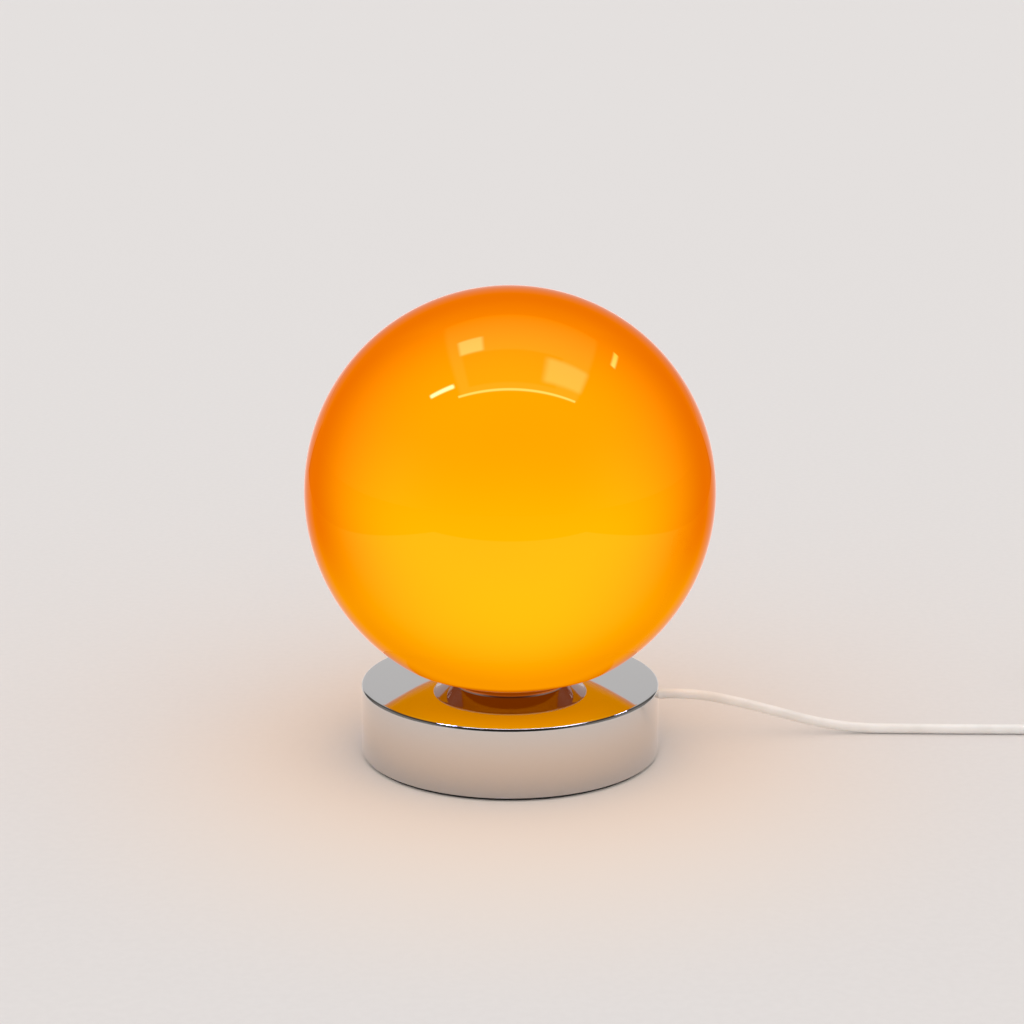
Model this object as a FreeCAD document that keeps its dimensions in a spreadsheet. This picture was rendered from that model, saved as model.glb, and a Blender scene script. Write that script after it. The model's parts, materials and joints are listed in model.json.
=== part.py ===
import FreeCAD, Part
import math
import os
import Sketcher

# Glass globe table lamp, in millimetres.
# The origin is on the surface that the lamp stands on, on the lamp's axis, with +Z up.
# The front of the lamp faces -Y and the cord leaves towards +X.

V = FreeCAD.Vector

SIZES = {
    # chromed base
    "base_radius": 74.5,
    "base_height": 35.0,
    "foot_gap": 1.5,
    "shell_wall": 1.2,
    "shell_top": 1.5,
    "shell_edge": 2.0,
    "cover_recess": 1.0,
    "cover_thickness": 1.2,
    "foot_ring_width": 9.0,
    "ballast_height": 10.0,
    "ballast_margin": 7.3,
    "ballast_bore": 20.0,
    "ballast_chamfer": 1.5,
    "post_circle": 52.0,
    "post_radius": 4.0,
    "post_tap_depth": 10.0,
    "cover_screw_radius": 1.6,
    "cover_screw_head": 3.8,
    "cover_screw_head_height": 1.6,
    "cover_screw_reach": 8.0,
    "slot_width": 1.0,
    "slot_depth": 0.8,
    # running, thread and seat clearances
    "side_clearance": 0.3,
    "screw_clearance": 0.6,
    "thread_clearance": 0.05,
    "seat_clearance": 0.3,
    "finger_clearance": 0.4,
    # flared cup that carries the globe
    "wire_gap": 4.1,
    "well_radius": 27.0,
    "well_corner": 3.0,
    "cup_wall": 1.0,
    "cup_floor": 1.2,
    "cup_waist_width": 1.5,
    "cup_waist_height": 0.3,
    "cup_radius": 38.2,
    "cup_lip": 0.5,
    "cup_flare_radius": 120.0,
    "cup_seat_width": 5.0,
    "ring_nut_width": 6.0,
    "ring_nut_height": 4.0,
    "gasket_height": 0.6,
    "gasket_inset": 0.6,
    # glass globe, a ball that flattens towards the opening in its foot
    "globe_radius": 100.8,
    "glass_wall": 2.5,
    "globe_foot_radius": 39.5,
    "globe_seat_width": 3.4793,
    "globe_rim_height": 6.9,
    "rim_polish": 0.5,
    # spring with upright fingers
    "spring_thickness": 0.8,
    "spring_hub": 12.0,
    "finger_width": 8.0,
    "finger_height": 13.0,
    # threaded tube, washer and nut
    "nipple_radius": 5.0,
    "nipple_bore": 3.6,
    "nipple_engagement": 8.0,
    "nipple_tail": 0.8,
    "washer_radius": 10.0,
    "washer_thickness": 1.2,
    "nut_across_flats": 14.0,
    "nut_height": 5.0,
    # lampholder
    "holder_radius": 14.0,
    "holder_base_height": 21.0,
    "holder_wall": 2.7,
    "holder_step": 0.5,
    "boss_radius": 7.5,
    "boss_floor": 3.0,
    "insert_radius": 12.0,
    "insert_height": 5.0,
    "skirt_height": 25.0,
    "screw_shell_radius": 7.3,
    "screw_shell_wall": 0.5,
    "screw_shell_height": 18.0,
    "contact_height": 2.4,
    "contact_thickness": 0.5,
    "contact_width": 4.0,
    "terminal_size": 4.5,
    "terminal_offset": 6.0,
    "terminal_screw_radius": 1.3,
    "terminal_screw_head": 1.9,
    "terminal_screw_length": 1.9,
    # bulb, a golf ball lamp on a small Edison cap
    "bulb_length": 78.0,
    "bulb_ball": 22.5,
    "bulb_skin": 1.2,
    "bulb_cap_radius": 7.0,
    "bulb_cap_wall": 0.5,
    "bulb_cap_pitch": 2.8,
    "bulb_thread_depth": 0.6,
    "bulb_cap_top": 23.5,
    "bulb_body_bottom": 19.5,
    "bulb_body_top": 45.5,
    "bulb_body_wall": 1.4,
    "board_thickness": 1.6,
    # cord and its way through the base
    "cord_radius": 2.5,
    "cord_azimuth": 13.0,
    "exit_height": 23.0,
    "gland_head": 1.6,
    "gland_head_radius": 5.5,
    "gland_neck_radius": 3.9,
    "gland_hole_clearance": 0.2,
    "gland_inner_head": 2.0,
    "gland_tail": 12.0,
    "clamp_start": 44.0,
    "clamp_length": 10.0,
    "clamp_half_width": 10.0,
    "clamp_gap": 1.4,
    "clamp_bar_height": 4.3,
    "clamp_screw_offset": 6.8,
    "clamp_screw_radius": 1.4,
    "clamp_screw_head": 2.7,
    "clamp_screw_head_height": 1.6,
    "clamp_screw_reach": 5.0,
    "sheath_end": 40.0,
    "wire_radius": 1.0,
    "wire_spacing": 1.15,
    # inline switch
    "switch_length": 62.0,
    "switch_width": 25.0,
    "switch_height": 16.0,
    "switch_wall": 1.6,
    "switch_corner": 7.0,
    "switch_edge": 2.5,
    "switch_x": 346.0,
    "switch_y": 21.6,
    "rocker_radius": 10.8,
    "rocker_half_width": 6.0,
    "rocker_pivot": 12.0,
    "rocker_end_rise": 5.0,
    "rocker_dip_rise": 3.6,
    "rocker_skirt": 1.0,
    "nose_half_width": 2.2,
    "nose_depth": 4.5,
    "rocker_tilt": 9.0,
    "pin_radius": 1.0,
    "pin_clearance": 0.03,
    "plunger_radius": 1.2,
    "plunger_reach": 6.7,
    "lever_pivot": 4.4,
    "lever_half_length": 8.0,
    "lever_half_width": 2.5,
    "lever_thickness": 0.6,
    "lever_tilt": 6.0,
    "contact_offset": 7.0,
    "switch_boss": 2.8,
    "switch_boss_x": 19.5,
    "switch_boss_y": 8.0,
    "switch_screw_radius": 1.0,
    "switch_screw_head": 2.2,
    "switch_stub": 11.0,
    "switch_wire_radius": 0.9,
    # coil
    "coil_pitch": 5.5,
    "coil_mean_radius": 30.0,
    "coil_x": 418.0,
    "tie_thickness": 0.8,
    "tie_width": 12.0,
    # flat two-pin plug
    "plug_length": 36.0,
    "plug_half_width": 17.65,
    "plug_thickness": 13.7,
    "plug_rear_half_width": 7.0,
    "plug_edge": 2.5,
    "relief_length": 28.0,
    "relief_root": 5.0,
    "relief_end": 3.3,
    "pin_spacing": 18.6,
    "plug_pin_radius": 2.0,
    "plug_pin_length": 19.0,
    "plug_pin_core": 1.3,
    "plug_sleeve_length": 10.0,
    "plug_sleeve_radius": 1.9,
    "plug_x": 314.0,
}

POST_COUNT = 3
FINGER_COUNT = 3
COIL_TURNS = 7.5
RELIEF_RIBS = 5
CAP_THREADS = 5
GRIP_GROOVES = 4

doc = FreeCAD.newDocument("globe_lamp")
sheet = doc.addObject("Spreadsheet::Sheet", "Sizes")


class Dim(float):
    """A size that remembers the spreadsheet formula it comes from."""

    def __new__(cls, number, formula):
        dim = float.__new__(cls, number)
        dim.formula = formula
        return dim

    def __add__(self, other):
        return Dim(float(self) + float(other), f"({self.formula} + {formula_of(other)})")

    def __radd__(self, other):
        return Dim(float(other) + float(self), f"({formula_of(other)} + {self.formula})")

    def __sub__(self, other):
        return Dim(float(self) - float(other), f"({self.formula} - {formula_of(other)})")

    def __rsub__(self, other):
        return Dim(float(other) - float(self), f"({formula_of(other)} - {self.formula})")

    def __mul__(self, other):
        return Dim(float(self) * float(other), f"({self.formula} * {formula_of(other)})")

    __rmul__ = __mul__

    def __truediv__(self, other):
        return Dim(float(self) / float(other), f"({self.formula} / {formula_of(other)})")

    def __neg__(self):
        return Dim(-float(self), f"(-1 * {self.formula})")


def formula_of(number):
    return number.formula if isinstance(number, Dim) else repr(float(number))


def root(dim):
    return Dim(math.sqrt(dim), f"sqrt({dim.formula})")


def leg(long_side, short_side):
    """Third side of a right triangle."""
    return root(long_side * long_side - short_side * short_side)


def along(dim, degrees):
    """The two parts, across and up, of a length at an angle."""
    turn = math.radians(degrees)
    angle = f"({formula_of(degrees)} * 1 deg)"
    return (Dim(dim * math.cos(turn), f"({formula_of(dim)} * cos({angle}))"),
            Dim(dim * math.sin(turn), f"({formula_of(dim)} * sin({angle}))"))


class Namespace:
    """The driving sizes, by name."""


def read_sizes():
    sizes = Namespace()
    for row, (name, number) in enumerate(SIZES.items(), start=1):
        sheet.set(f"A{row}", name)
        sheet.set(f"B{row}", str(number))
        sheet.setAlias(f"B{row}", name)
        setattr(sizes, name, Dim(number, f"Sizes.{name}"))
    doc.recompute()
    return sizes


s = read_sizes()

# ---------------------------------------------------------------- levels and radii

plate_top = s.foot_gap + s.base_height
plate_under = plate_top - s.shell_top
shell_inner = s.base_radius - s.shell_wall
cover_radius = shell_inner - s.side_clearance
cover_bottom = s.foot_gap + s.cover_recess
cover_top = cover_bottom + s.cover_thickness
ballast_top = cover_top + s.ballast_height
ballast_radius = shell_inner - s.ballast_margin
screw_hole = s.cover_screw_radius + s.screw_clearance

well_under = ballast_top + s.wire_gap
well_floor = well_under + s.cup_floor
well_inner = s.well_radius - s.cup_wall
rim_level = plate_top + s.globe_rim_height
gasket_top = rim_level - s.seat_clearance
cup_seat = gasket_top - s.gasket_height
seat_inner = s.cup_radius - s.cup_seat_width
globe_opening = s.cup_radius - s.globe_seat_width
foot_reach = s.globe_radius - s.globe_foot_radius
foot_angle = Dim(
    math.degrees(math.acos(globe_opening / foot_reach)),
    f"(acos({formula_of(globe_opening)} / {formula_of(foot_reach)}) / (1 deg))")
foot_drop = along(foot_reach, foot_angle)[1]
globe_centre = rim_level + s.globe_foot_radius + foot_drop
glass_inner = s.globe_radius - s.glass_wall
nipple_hole = s.nipple_radius + 0.2

spring_top = well_floor + s.spring_thickness
holder_bottom = spring_top
insert_bottom = holder_bottom + s.holder_base_height
insert_top = insert_bottom + s.insert_height
skirt_top = insert_bottom + s.skirt_height
bulb_bottom = insert_top + s.contact_height + s.seat_clearance
bulb_ball_centre = bulb_bottom + s.bulb_length - s.bulb_ball

washer_bottom = well_under - s.washer_thickness
nut_bottom = washer_bottom - s.nut_height
nipple_bottom = nut_bottom - s.nipple_tail
nipple_top = holder_bottom + s.nipple_engagement

gland_face = s.base_radius + s.gland_head
cord_bore = s.cord_radius + s.thread_clearance

azimuth = FreeCAD.Rotation(V(0, 0, 1), s.cord_azimuth)
kept = []


# ---------------------------------------------------------------- drawing helpers

def new_body(name, keep=True):
    body = doc.addObject("PartDesign::Body", name)
    body.Label = name
    if keep:
        kept.append(body)
    return body


def new_sketch(body, role, offset=0.0):
    """Sketch on one of the body's own origin planes, moved along the plane's normal."""
    plane = [feature for feature in body.Origin.OriginFeatures if feature.Role == role][0]
    sketch = body.newObject("Sketcher::SketchObject", body.Label + "_outline")
    sketch.AttachmentSupport = [(plane, "")]
    sketch.MapMode = "FlatFace"
    sketch.AttachmentOffset = FreeCAD.Placement(V(0, 0, float(offset)), FreeCAD.Rotation())
    if isinstance(offset, Dim):
        sketch.setExpression("AttachmentOffset.Base.z", offset.formula)
    return sketch


def constrain(sketch, kind, *where):
    """Add a dimension whose last item is its size, bound to the size's formula."""
    number = where[-1]
    index = sketch.addConstraint(Sketcher.Constraint(kind, *where[:-1], float(number)))
    if isinstance(number, Dim):
        sketch.setExpression(f"Constraints[{index}]", number.formula)


def pin_point(sketch, edge, point, x, y):
    for kind, axis, number in (("DistanceX", -2, x), ("DistanceY", -1, y)):
        if float(number) == 0.0:
            sketch.addConstraint(Sketcher.Constraint("PointOnObject", edge, point, axis))
        else:
            constrain(sketch, kind, -1, 1, edge, point, number)


def arc_middle(start, end, radius, side):
    """Middle of the short arc from start to end, with its centre left (1) or right (-1)."""
    chord = end - start
    half = chord.Length / 2
    left = V(-chord.y, chord.x, 0).normalize()
    rise = radius - math.sqrt(max(radius * radius - half * half, 0.0))
    return (start + end) * 0.5 - left * (side * rise)


def draw_outline(sketch, corners):
    """Closed outline. A corner is (x, y), or (x, y, radius, side) where an arc leaves it."""
    first = sketch.GeometryCount
    points = [V(corner[0], corner[1], 0) for corner in corners]
    count = len(corners)
    ends = []
    for index, corner in enumerate(corners):
        start = points[index]
        end = points[(index + 1) % count]
        # an arc in a sketch runs anticlockwise, so a clockwise one is entered at its far end
        clockwise = len(corner) == 4 and corner[3] < 0
        ends.append((2, 1) if clockwise else (1, 2))
        if len(corner) == 4:
            middle = arc_middle(start, end, float(corner[2]), corner[3])
            arc = Part.Arc(end, middle, start) if clockwise else Part.Arc(start, middle, end)
            sketch.addGeometry(arc, False)
        else:
            sketch.addGeometry(Part.LineSegment(start, end), False)
    for index, corner in enumerate(corners):
        following = (index + 1) % count
        joined = (first + index, ends[index][1], first + following, ends[following][0])
        sketch.addConstraint(Sketcher.Constraint("Coincident", *joined))
        pin_point(sketch, first + index, ends[index][0], corner[0], corner[1])
        if len(corner) == 4:
            constrain(sketch, "Radius", first + index, corner[2])


def draw_circle(sketch, x, y, radius):
    index = sketch.addGeometry(Part.Circle(V(x, y, 0), V(0, 0, 1), float(radius)), False)
    pin_point(sketch, index, 3, x, y)
    constrain(sketch, "Radius", index, radius)


def set_length(feature, length):
    feature.Length = float(length)
    if isinstance(length, Dim):
        feature.setExpression("Length", length.formula)


def turned(name, corners, axis="V_Axis", keep=True):
    """Body turned from a half section in the XZ plane, about Z, or about X."""
    body = new_body(name, keep)
    sketch = new_sketch(body, "XZ_Plane")
    draw_outline(sketch, corners)
    turning = body.newObject("PartDesign::Revolution", name + "_turning")
    turning.Profile = sketch
    turning.ReferenceAxis = (sketch, [axis])
    turning.Angle = 360.0
    return body


def extruded(body, role, offset, length, outlines=(), circles=(), symmetric=False):
    """Pad one or more outlines and circles (x, y, radius)."""
    sketch = new_sketch(body, role, offset)
    for outline in outlines:
        draw_outline(sketch, outline)
    for circle in circles:
        draw_circle(sketch, *circle)
    pad = body.newObject("PartDesign::Pad", body.Label + "_pad")
    pad.Profile = sketch
    pad.SideType = "Symmetric" if symmetric else "One side"
    set_length(pad, length)
    return pad


def pocketed(body, role, offset, depth, outlines=(), circles=(), symmetric=False, upward=False):
    """Cut outlines and circles against the plane's normal, or along it if upward."""
    sketch = new_sketch(body, role, offset)
    for outline in outlines:
        draw_outline(sketch, outline)
    for circle in circles:
        draw_circle(sketch, *circle)
    pocket = body.newObject("PartDesign::Pocket", body.Label + "_pocket")
    pocket.Profile = sketch
    pocket.SideType = "Symmetric" if symmetric else "One side"
    pocket.Reversed = upward
    set_length(pocket, depth)
    return pocket


def rounded(body, radius, chosen):
    """Round the edges of the body's last feature that the test chosen(edge) picks."""
    doc.recompute()
    base = body.Tip
    names = [f"Edge{index}" for index, edge in enumerate(base.Shape.Edges, start=1) if chosen(edge)]
    fillet = body.newObject("PartDesign::Fillet", body.Label + "_fillet")
    fillet.Base = (base, names)
    fillet.Radius = float(radius)
    fillet.setExpression("Radius", formula_of(radius))
    return fillet


def at_height(height):
    """Test for edges that lie flat at one height."""
    def flat(edge):
        box = edge.BoundBox
        return abs(box.ZMin - float(height)) < 0.001 and abs(box.ZMax - float(height)) < 0.001
    return flat


def box_outline(x_low, x_high, y_low, y_high):
    return [(x_low, y_low), (x_high, y_low), (x_high, y_high), (x_low, y_high)]


def rounded_box(half_x, half_y, corner):
    """Rectangle about the origin with round corners."""
    inner_x = half_x - corner
    inner_y = half_y - corner
    return [(-inner_x, -half_y), (inner_x, -half_y, corner, 1), (half_x, -inner_y),
            (half_x, inner_y, corner, 1), (inner_x, half_y), (-inner_x, half_y, corner, 1),
            (-half_x, inner_y), (-half_x, -inner_y, corner, 1)]


def solid_feature(name, shape, keep=True):
    feature = doc.addObject("Part::Feature", name)
    feature.Label = name
    feature.Shape = shape
    if keep:
        kept.append(feature)
    return feature


def copies(name, template, placements):
    """One node that holds the same piece at several places."""
    doc.recompute()
    shapes = []
    for placement in placements:
        shape = template.Shape.copy()
        shape.Placement = placement.multiply(shape.Placement)
        shapes.append(shape)
    return solid_feature(name, Part.makeCompound(shapes))


def at(x, y, z=0.0, rotation=None):
    return FreeCAD.Placement(V(x, y, z), rotation or FreeCAD.Rotation())


def towards_cord(*bodies):
    """Turn pieces drawn along +X to the cord's direction."""
    for body in bodies:
        body.Placement = FreeCAD.Placement(V(0, 0, 0), azimuth)


def post_points():
    """Centres of the studs and their screws, with the cord midway between two of them."""
    step = 360.0 / POST_COUNT
    return [along(s.post_circle, step / 2 + step * index) for index in range(POST_COUNT)]


def clamp_points():
    middle = s.clamp_start + s.clamp_length / 2
    return [(middle, s.clamp_screw_offset), (middle, -s.clamp_screw_offset)]


# ---------------------------------------------------------------- base

def make_base():
    inner_edge = s.shell_edge - s.shell_wall
    plate_hole = s.well_radius + s.side_clearance
    shell = turned("base_shell", [
        (plate_hole, plate_under),
        (shell_inner - inner_edge, plate_under, inner_edge, -1),
        (shell_inner, plate_under - inner_edge),
        (shell_inner, s.foot_gap),
        (s.base_radius, s.foot_gap),
        (s.base_radius, plate_top - s.shell_edge, s.shell_edge, 1),
        (s.base_radius - s.shell_edge, plate_top),
        (plate_hole, plate_top)])
    hole = s.gland_neck_radius + s.gland_hole_clearance
    pocketed(shell, "YZ_Plane", gland_face, s.gland_head + s.shell_wall * 2,
             circles=[(0.0, s.exit_height, hole)])

    tap = s.cover_screw_radius + s.thread_clearance
    tap_top = ballast_top + s.post_tap_depth
    post = turned("post_template", [
        (tap, ballast_top), (s.post_radius, ballast_top), (s.post_radius, plate_under),
        (0.0, plate_under), (0.0, tap_top), (tap, tap_top)], keep=False)
    places = [at(x, y) for x, y in post_points()]
    posts = copies("base_posts", post, places)

    cover = new_body("base_cover")
    holes = [(x, y, screw_hole) for x, y in post_points()]
    extruded(cover, "XY_Plane", cover_bottom, s.cover_thickness,
             circles=[(0.0, 0.0, cover_radius)] + holes)

    ballast = turned("base_ballast", [
        (s.ballast_bore, cover_top), (ballast_radius, cover_top),
        (ballast_radius, ballast_top - s.ballast_chamfer),
        (ballast_radius - s.ballast_chamfer, ballast_top), (s.ballast_bore, ballast_top)])
    pocketed(ballast, "XY_Plane", ballast_top, s.ballast_height, circles=holes)
    pilot = s.clamp_screw_radius + s.thread_clearance
    pocketed(ballast, "XY_Plane", ballast_top, s.clamp_screw_reach + 1.0,
             circles=[(x, y, pilot) for x, y in clamp_points()])

    head_bottom = cover_bottom - s.cover_screw_head_height
    screw_top = ballast_top + s.cover_screw_reach
    screw = turned("cover_screw_template", [
        (0.0, head_bottom), (s.cover_screw_head * 0.75, head_bottom),
        (s.cover_screw_head, head_bottom + s.cover_screw_head_height / 2),
        (s.cover_screw_head, cover_bottom), (s.cover_screw_radius, cover_bottom),
        (s.cover_screw_radius, screw_top), (0.0, screw_top)], keep=False)
    pocketed(screw, "XY_Plane", head_bottom, s.slot_depth, upward=True,
             outlines=[box_outline(-s.cover_screw_head, s.cover_screw_head,
                                   -s.slot_width / 2, s.slot_width / 2)])
    screws = copies("base_cover_screws", screw, places)

    ring_inner = cover_radius - s.foot_ring_width
    turned("base_foot_ring", [
        (ring_inner, 0.0), (cover_radius, 0.0), (cover_radius, cover_bottom),
        (ring_inner, cover_bottom)])
    towards_cord(shell, cover, ballast)
    for group in (posts, screws):
        group.Placement = FreeCAD.Placement(V(0, 0, 0), azimuth)


# ---------------------------------------------------------------- globe and what carries it

def make_globe_holder():
    waist = s.well_radius + s.cup_waist_width
    inner_corner = s.well_corner - s.cup_wall
    turned("gallery_cup", [
        (nipple_hole, well_under),
        (s.well_radius - s.well_corner, well_under, s.well_corner, 1),
        (s.well_radius, well_under + s.well_corner),
        (s.well_radius, plate_top),
        (waist, plate_top),
        (waist, plate_top + s.cup_waist_height, s.cup_flare_radius, -1),
        (s.cup_radius, cup_seat - s.cup_lip),
        (s.cup_radius, cup_seat),
        (seat_inner, cup_seat),
        (well_inner, plate_top + s.cup_waist_height),
        (well_inner, well_floor + inner_corner, inner_corner, -1),
        (well_inner - inner_corner, well_floor),
        (nipple_hole, well_floor)])

    nut_inner = s.well_radius + s.thread_clearance
    nut_outer = nut_inner + s.ring_nut_width
    nut_low = plate_under - s.ring_nut_height
    ring_nut = turned("gallery_ring_nut", [
        (nut_inner, nut_low), (nut_outer, nut_low), (nut_outer, plate_under), (nut_inner, plate_under)])
    notch = s.ring_nut_width / 2
    pocketed(ring_nut, "XY_Plane", nut_low, s.ring_nut_height / 2, upward=True,
             outlines=[box_outline(-nut_outer, nut_outer, -notch, notch)])

    gasket_inner = globe_opening + s.gasket_inset
    gasket_outer = s.cup_radius - s.gasket_inset
    turned("globe_gasket", [
        (gasket_inner, cup_seat), (gasket_outer, cup_seat), (gasket_outer, gasket_top),
        (gasket_inner, gasket_top)])
    make_clips()
    make_globe()


def make_clips():
    """Sheet spring on the cup's floor, with fingers that stand up inside the globe's opening."""
    clips = new_body("globe_clips")
    thick = s.spring_thickness
    upright = well_inner - s.cup_wall
    finger = globe_opening - s.finger_clearance
    bend = s.well_corner / 2
    knee = plate_top + s.cup_waist_height + thick
    shoulder = rim_level + thick
    tip = shoulder + s.finger_height
    bent_in = finger - bend
    extruded(clips, "XY_Plane", well_floor, thick,
             circles=[(0.0, 0.0, s.spring_hub), (0.0, 0.0, nipple_hole)])
    root_radius = s.spring_hub - 3.0
    arm = extruded(clips, "XZ_Plane", 0.0, s.finger_width, symmetric=True, outlines=[[
        (root_radius, well_floor),
        (upright - bend, well_floor),
        (upright, well_floor + bend),
        (upright, knee),
        (finger, shoulder),
        (finger, tip - bend * 2),
        (bent_in, tip),
        (bent_in - thick, tip),
        (finger - thick, tip - bend * 2),
        (finger - thick, shoulder + thick / 2),
        (upright - thick, knee + thick / 2),
        (upright - thick, well_floor + bend + thick / 2),
        (upright - bend - thick / 2, well_floor + thick),
        (root_radius, well_floor + thick)]])
    pattern = clips.newObject("PartDesign::PolarPattern", "fingers")
    pattern.Originals = [arm]
    pattern.Axis = (arm.Profile[0], ["V_Axis"])
    pattern.Angle = 360.0
    pattern.Occurrences = FINGER_COUNT
    clips.Tip = pattern


def make_globe():
    """Hollow ball whose foot turns in, flatter than the ball, to a round opening."""
    top = globe_centre + s.globe_radius
    rim_top = rim_level + s.glass_wall
    outer, outer_drop = along(s.globe_radius, foot_angle)
    inner, inner_drop = along(glass_inner, foot_angle)
    globe = turned("glass_globe", [
        (0.0, top, s.globe_radius, -1),
        (outer, globe_centre - outer_drop, s.globe_foot_radius, -1),
        (globe_opening, rim_level),
        (globe_opening, rim_top, s.globe_foot_radius - s.glass_wall, 1),
        (inner, globe_centre - inner_drop, glass_inner, 1),
        (0.0, top - s.glass_wall)])
    rounded(globe, s.rim_polish, lambda edge: at_height(rim_level)(edge) or at_height(rim_top)(edge))


# ---------------------------------------------------------------- lampholder

def make_lampholder():
    turned("nipple", [
        (s.nipple_bore, nipple_bottom), (s.nipple_radius, nipple_bottom),
        (s.nipple_radius, nipple_top), (s.nipple_bore, nipple_top)])
    turned("nipple_washer", [
        (nipple_hole, washer_bottom), (s.washer_radius, washer_bottom),
        (s.washer_radius, well_under), (nipple_hole, well_under)])
    nut = new_body("nipple_nut")
    nut_corner = s.nut_across_flats / math.sqrt(3.0)
    thread = s.nipple_radius + s.thread_clearance
    extruded(nut, "XY_Plane", nut_bottom, s.nut_height,
             outlines=[[along(nut_corner, 60.0 * index + 30.0) for index in range(6)]],
             circles=[(0.0, 0.0, thread)])

    base_radius = s.holder_radius - s.holder_step
    base_inner = base_radius - s.holder_wall
    boss_top = holder_bottom + s.nipple_engagement
    floor_top = holder_bottom + s.boss_floor
    bevel = s.boss_floor / 2
    turned("holder_base", [
        (thread, holder_bottom), (base_radius - bevel, holder_bottom),
        (base_radius, holder_bottom + bevel), (base_radius, insert_bottom),
        (base_inner, insert_bottom), (base_inner, floor_top), (s.boss_radius, floor_top),
        (s.boss_radius, boss_top), (thread, boss_top)])
    turned("holder_insert", [
        (0.0, insert_bottom), (s.insert_radius, insert_bottom),
        (s.insert_radius, insert_top), (0.0, insert_top)])
    shell_outer = s.screw_shell_radius + s.screw_shell_wall
    socket = shell_outer + s.side_clearance * 2
    shoulder = insert_top + s.side_clearance
    collar = s.insert_radius + s.side_clearance
    bevel = s.holder_step * 1.6
    turned("holder_skirt", [
        (collar, insert_bottom), (s.holder_radius, insert_bottom),
        (s.holder_radius, skirt_top - bevel), (s.holder_radius - bevel, skirt_top),
        (socket, skirt_top), (socket, shoulder), (collar, shoulder)])
    shell_top = insert_top + s.screw_shell_height
    turned("holder_screw_shell", [
        (s.screw_shell_radius, insert_top), (shell_outer, insert_top),
        (shell_outer, shell_top), (s.screw_shell_radius, shell_top)])

    contact = new_body("holder_contact")
    foot = s.contact_width
    rise = s.contact_height
    thick = s.contact_thickness
    extruded(contact, "XZ_Plane", 0.0, s.contact_width, symmetric=True, outlines=[[
        (-foot, insert_top), (0.0, insert_top), (rise, insert_top + rise - thick),
        (rise, insert_top + rise), (rise - thick, insert_top + rise),
        (-thick / 2, insert_top + thick), (-foot, insert_top + thick)]])

    half = s.terminal_size / 2
    block = new_body("terminal_template", keep=False)
    extruded(block, "XY_Plane", insert_bottom - s.terminal_size, s.terminal_size,
             outlines=[box_outline(-half, half, s.terminal_offset - half, s.terminal_offset + half)])
    screw = new_body("terminal_screw_template", keep=False)
    screw_level = insert_bottom - half
    face = s.terminal_offset + half
    extruded(screw, "XZ_Plane", -face - s.terminal_screw_length / 2, s.terminal_screw_length / 2,
             circles=[(0.0, screw_level, s.terminal_screw_radius)])
    extruded(screw, "XZ_Plane", -face - s.terminal_screw_length, s.terminal_screw_length / 2,
             circles=[(0.0, screw_level, s.terminal_screw_head)])
    half_turn = FreeCAD.Rotation(V(0, 0, 1), 180)
    pair = [at(0, 0, 0, azimuth), at(0, 0, 0, azimuth.multiply(half_turn))]
    copies("holder_terminals", block, pair)
    copies("holder_terminal_screws", screw, pair)


# ---------------------------------------------------------------- bulb

def make_bulb():
    low = bulb_bottom
    tip_radius = s.bulb_cap_radius * 0.43
    tip_top = low + 1.5
    turned("bulb_tip", [
        (0.0, low), (tip_radius * 0.7, low), (tip_radius, low + 0.8), (tip_radius, tip_top),
        (0.0, tip_top)])
    cap_bottom = tip_top + 3.2
    groove = s.bulb_cap_radius - s.bulb_thread_depth
    turned("bulb_insulator", [
        (0.0, tip_top), (tip_radius + 0.4, tip_top), (groove, cap_bottom), (0.0, cap_bottom)])

    cap_top = low + s.bulb_cap_top
    cap_inner = groove - s.bulb_cap_wall
    corners = [(cap_inner, cap_bottom), (groove, cap_bottom)]
    for turn in range(CAP_THREADS):
        start = cap_bottom + s.bulb_cap_pitch * (turn + 0.25)
        corners.append((groove, start))
        corners.append((s.bulb_cap_radius, start + s.bulb_cap_pitch * 0.3))
        corners.append((s.bulb_cap_radius, start + s.bulb_cap_pitch * 0.5))
        corners.append((groove, start + s.bulb_cap_pitch * 0.8))
    corners += [(groove, cap_top), (cap_inner, cap_top)]
    turned("bulb_cap", corners)

    body_low = low + s.bulb_body_bottom
    body_top = low + s.bulb_body_top
    bore = groove + s.thread_clearance
    neck = bore + s.bulb_body_wall
    ball_drop = bulb_ball_centre - body_top
    ball_foot = leg(s.bulb_ball, ball_drop)
    rim = ball_foot + 0.5
    inner_rim = rim - s.bulb_body_wall
    ledge = body_top - s.board_thickness - 1.0
    turned("bulb_body", [
        (bore, body_low), (neck, body_low), (neck + 0.2, body_low + 4.0), (rim - 0.6, ledge - 1.4),
        (rim, body_top), (inner_rim, body_top), (inner_rim, ledge), (inner_rim - 1.2, ledge),
        (inner_rim - 1.2, ledge - 0.9), (bore, body_low + 4.8)])
    board = inner_rim - s.side_clearance
    turned("bulb_led_board", [
        (0.0, ledge), (board, ledge), (board, ledge + s.board_thickness),
        (0.0, ledge + s.board_thickness)])

    ball = doc.addObject("Part::Sphere", "bulb_outside")
    ball.setExpression("Radius", s.bulb_ball.formula)
    ball.setExpression("Angle1", f"-asin({(ball_drop / s.bulb_ball).formula})")
    hollow = doc.addObject("Part::Sphere", "bulb_inside")
    hollow.setExpression("Radius", (s.bulb_ball - s.bulb_skin).formula)
    diffuser = doc.addObject("Part::Cut", "bulb_diffuser")
    diffuser.Label = "bulb_diffuser"
    diffuser.Base = ball
    diffuser.Tool = hollow
    diffuser.Placement = at(0, 0, bulb_ball_centre)
    diffuser.setExpression("Placement.Base.z", bulb_ball_centre.formula)
    kept.append(diffuser)


# ---------------------------------------------------------------- tubes for cords and wires

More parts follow.
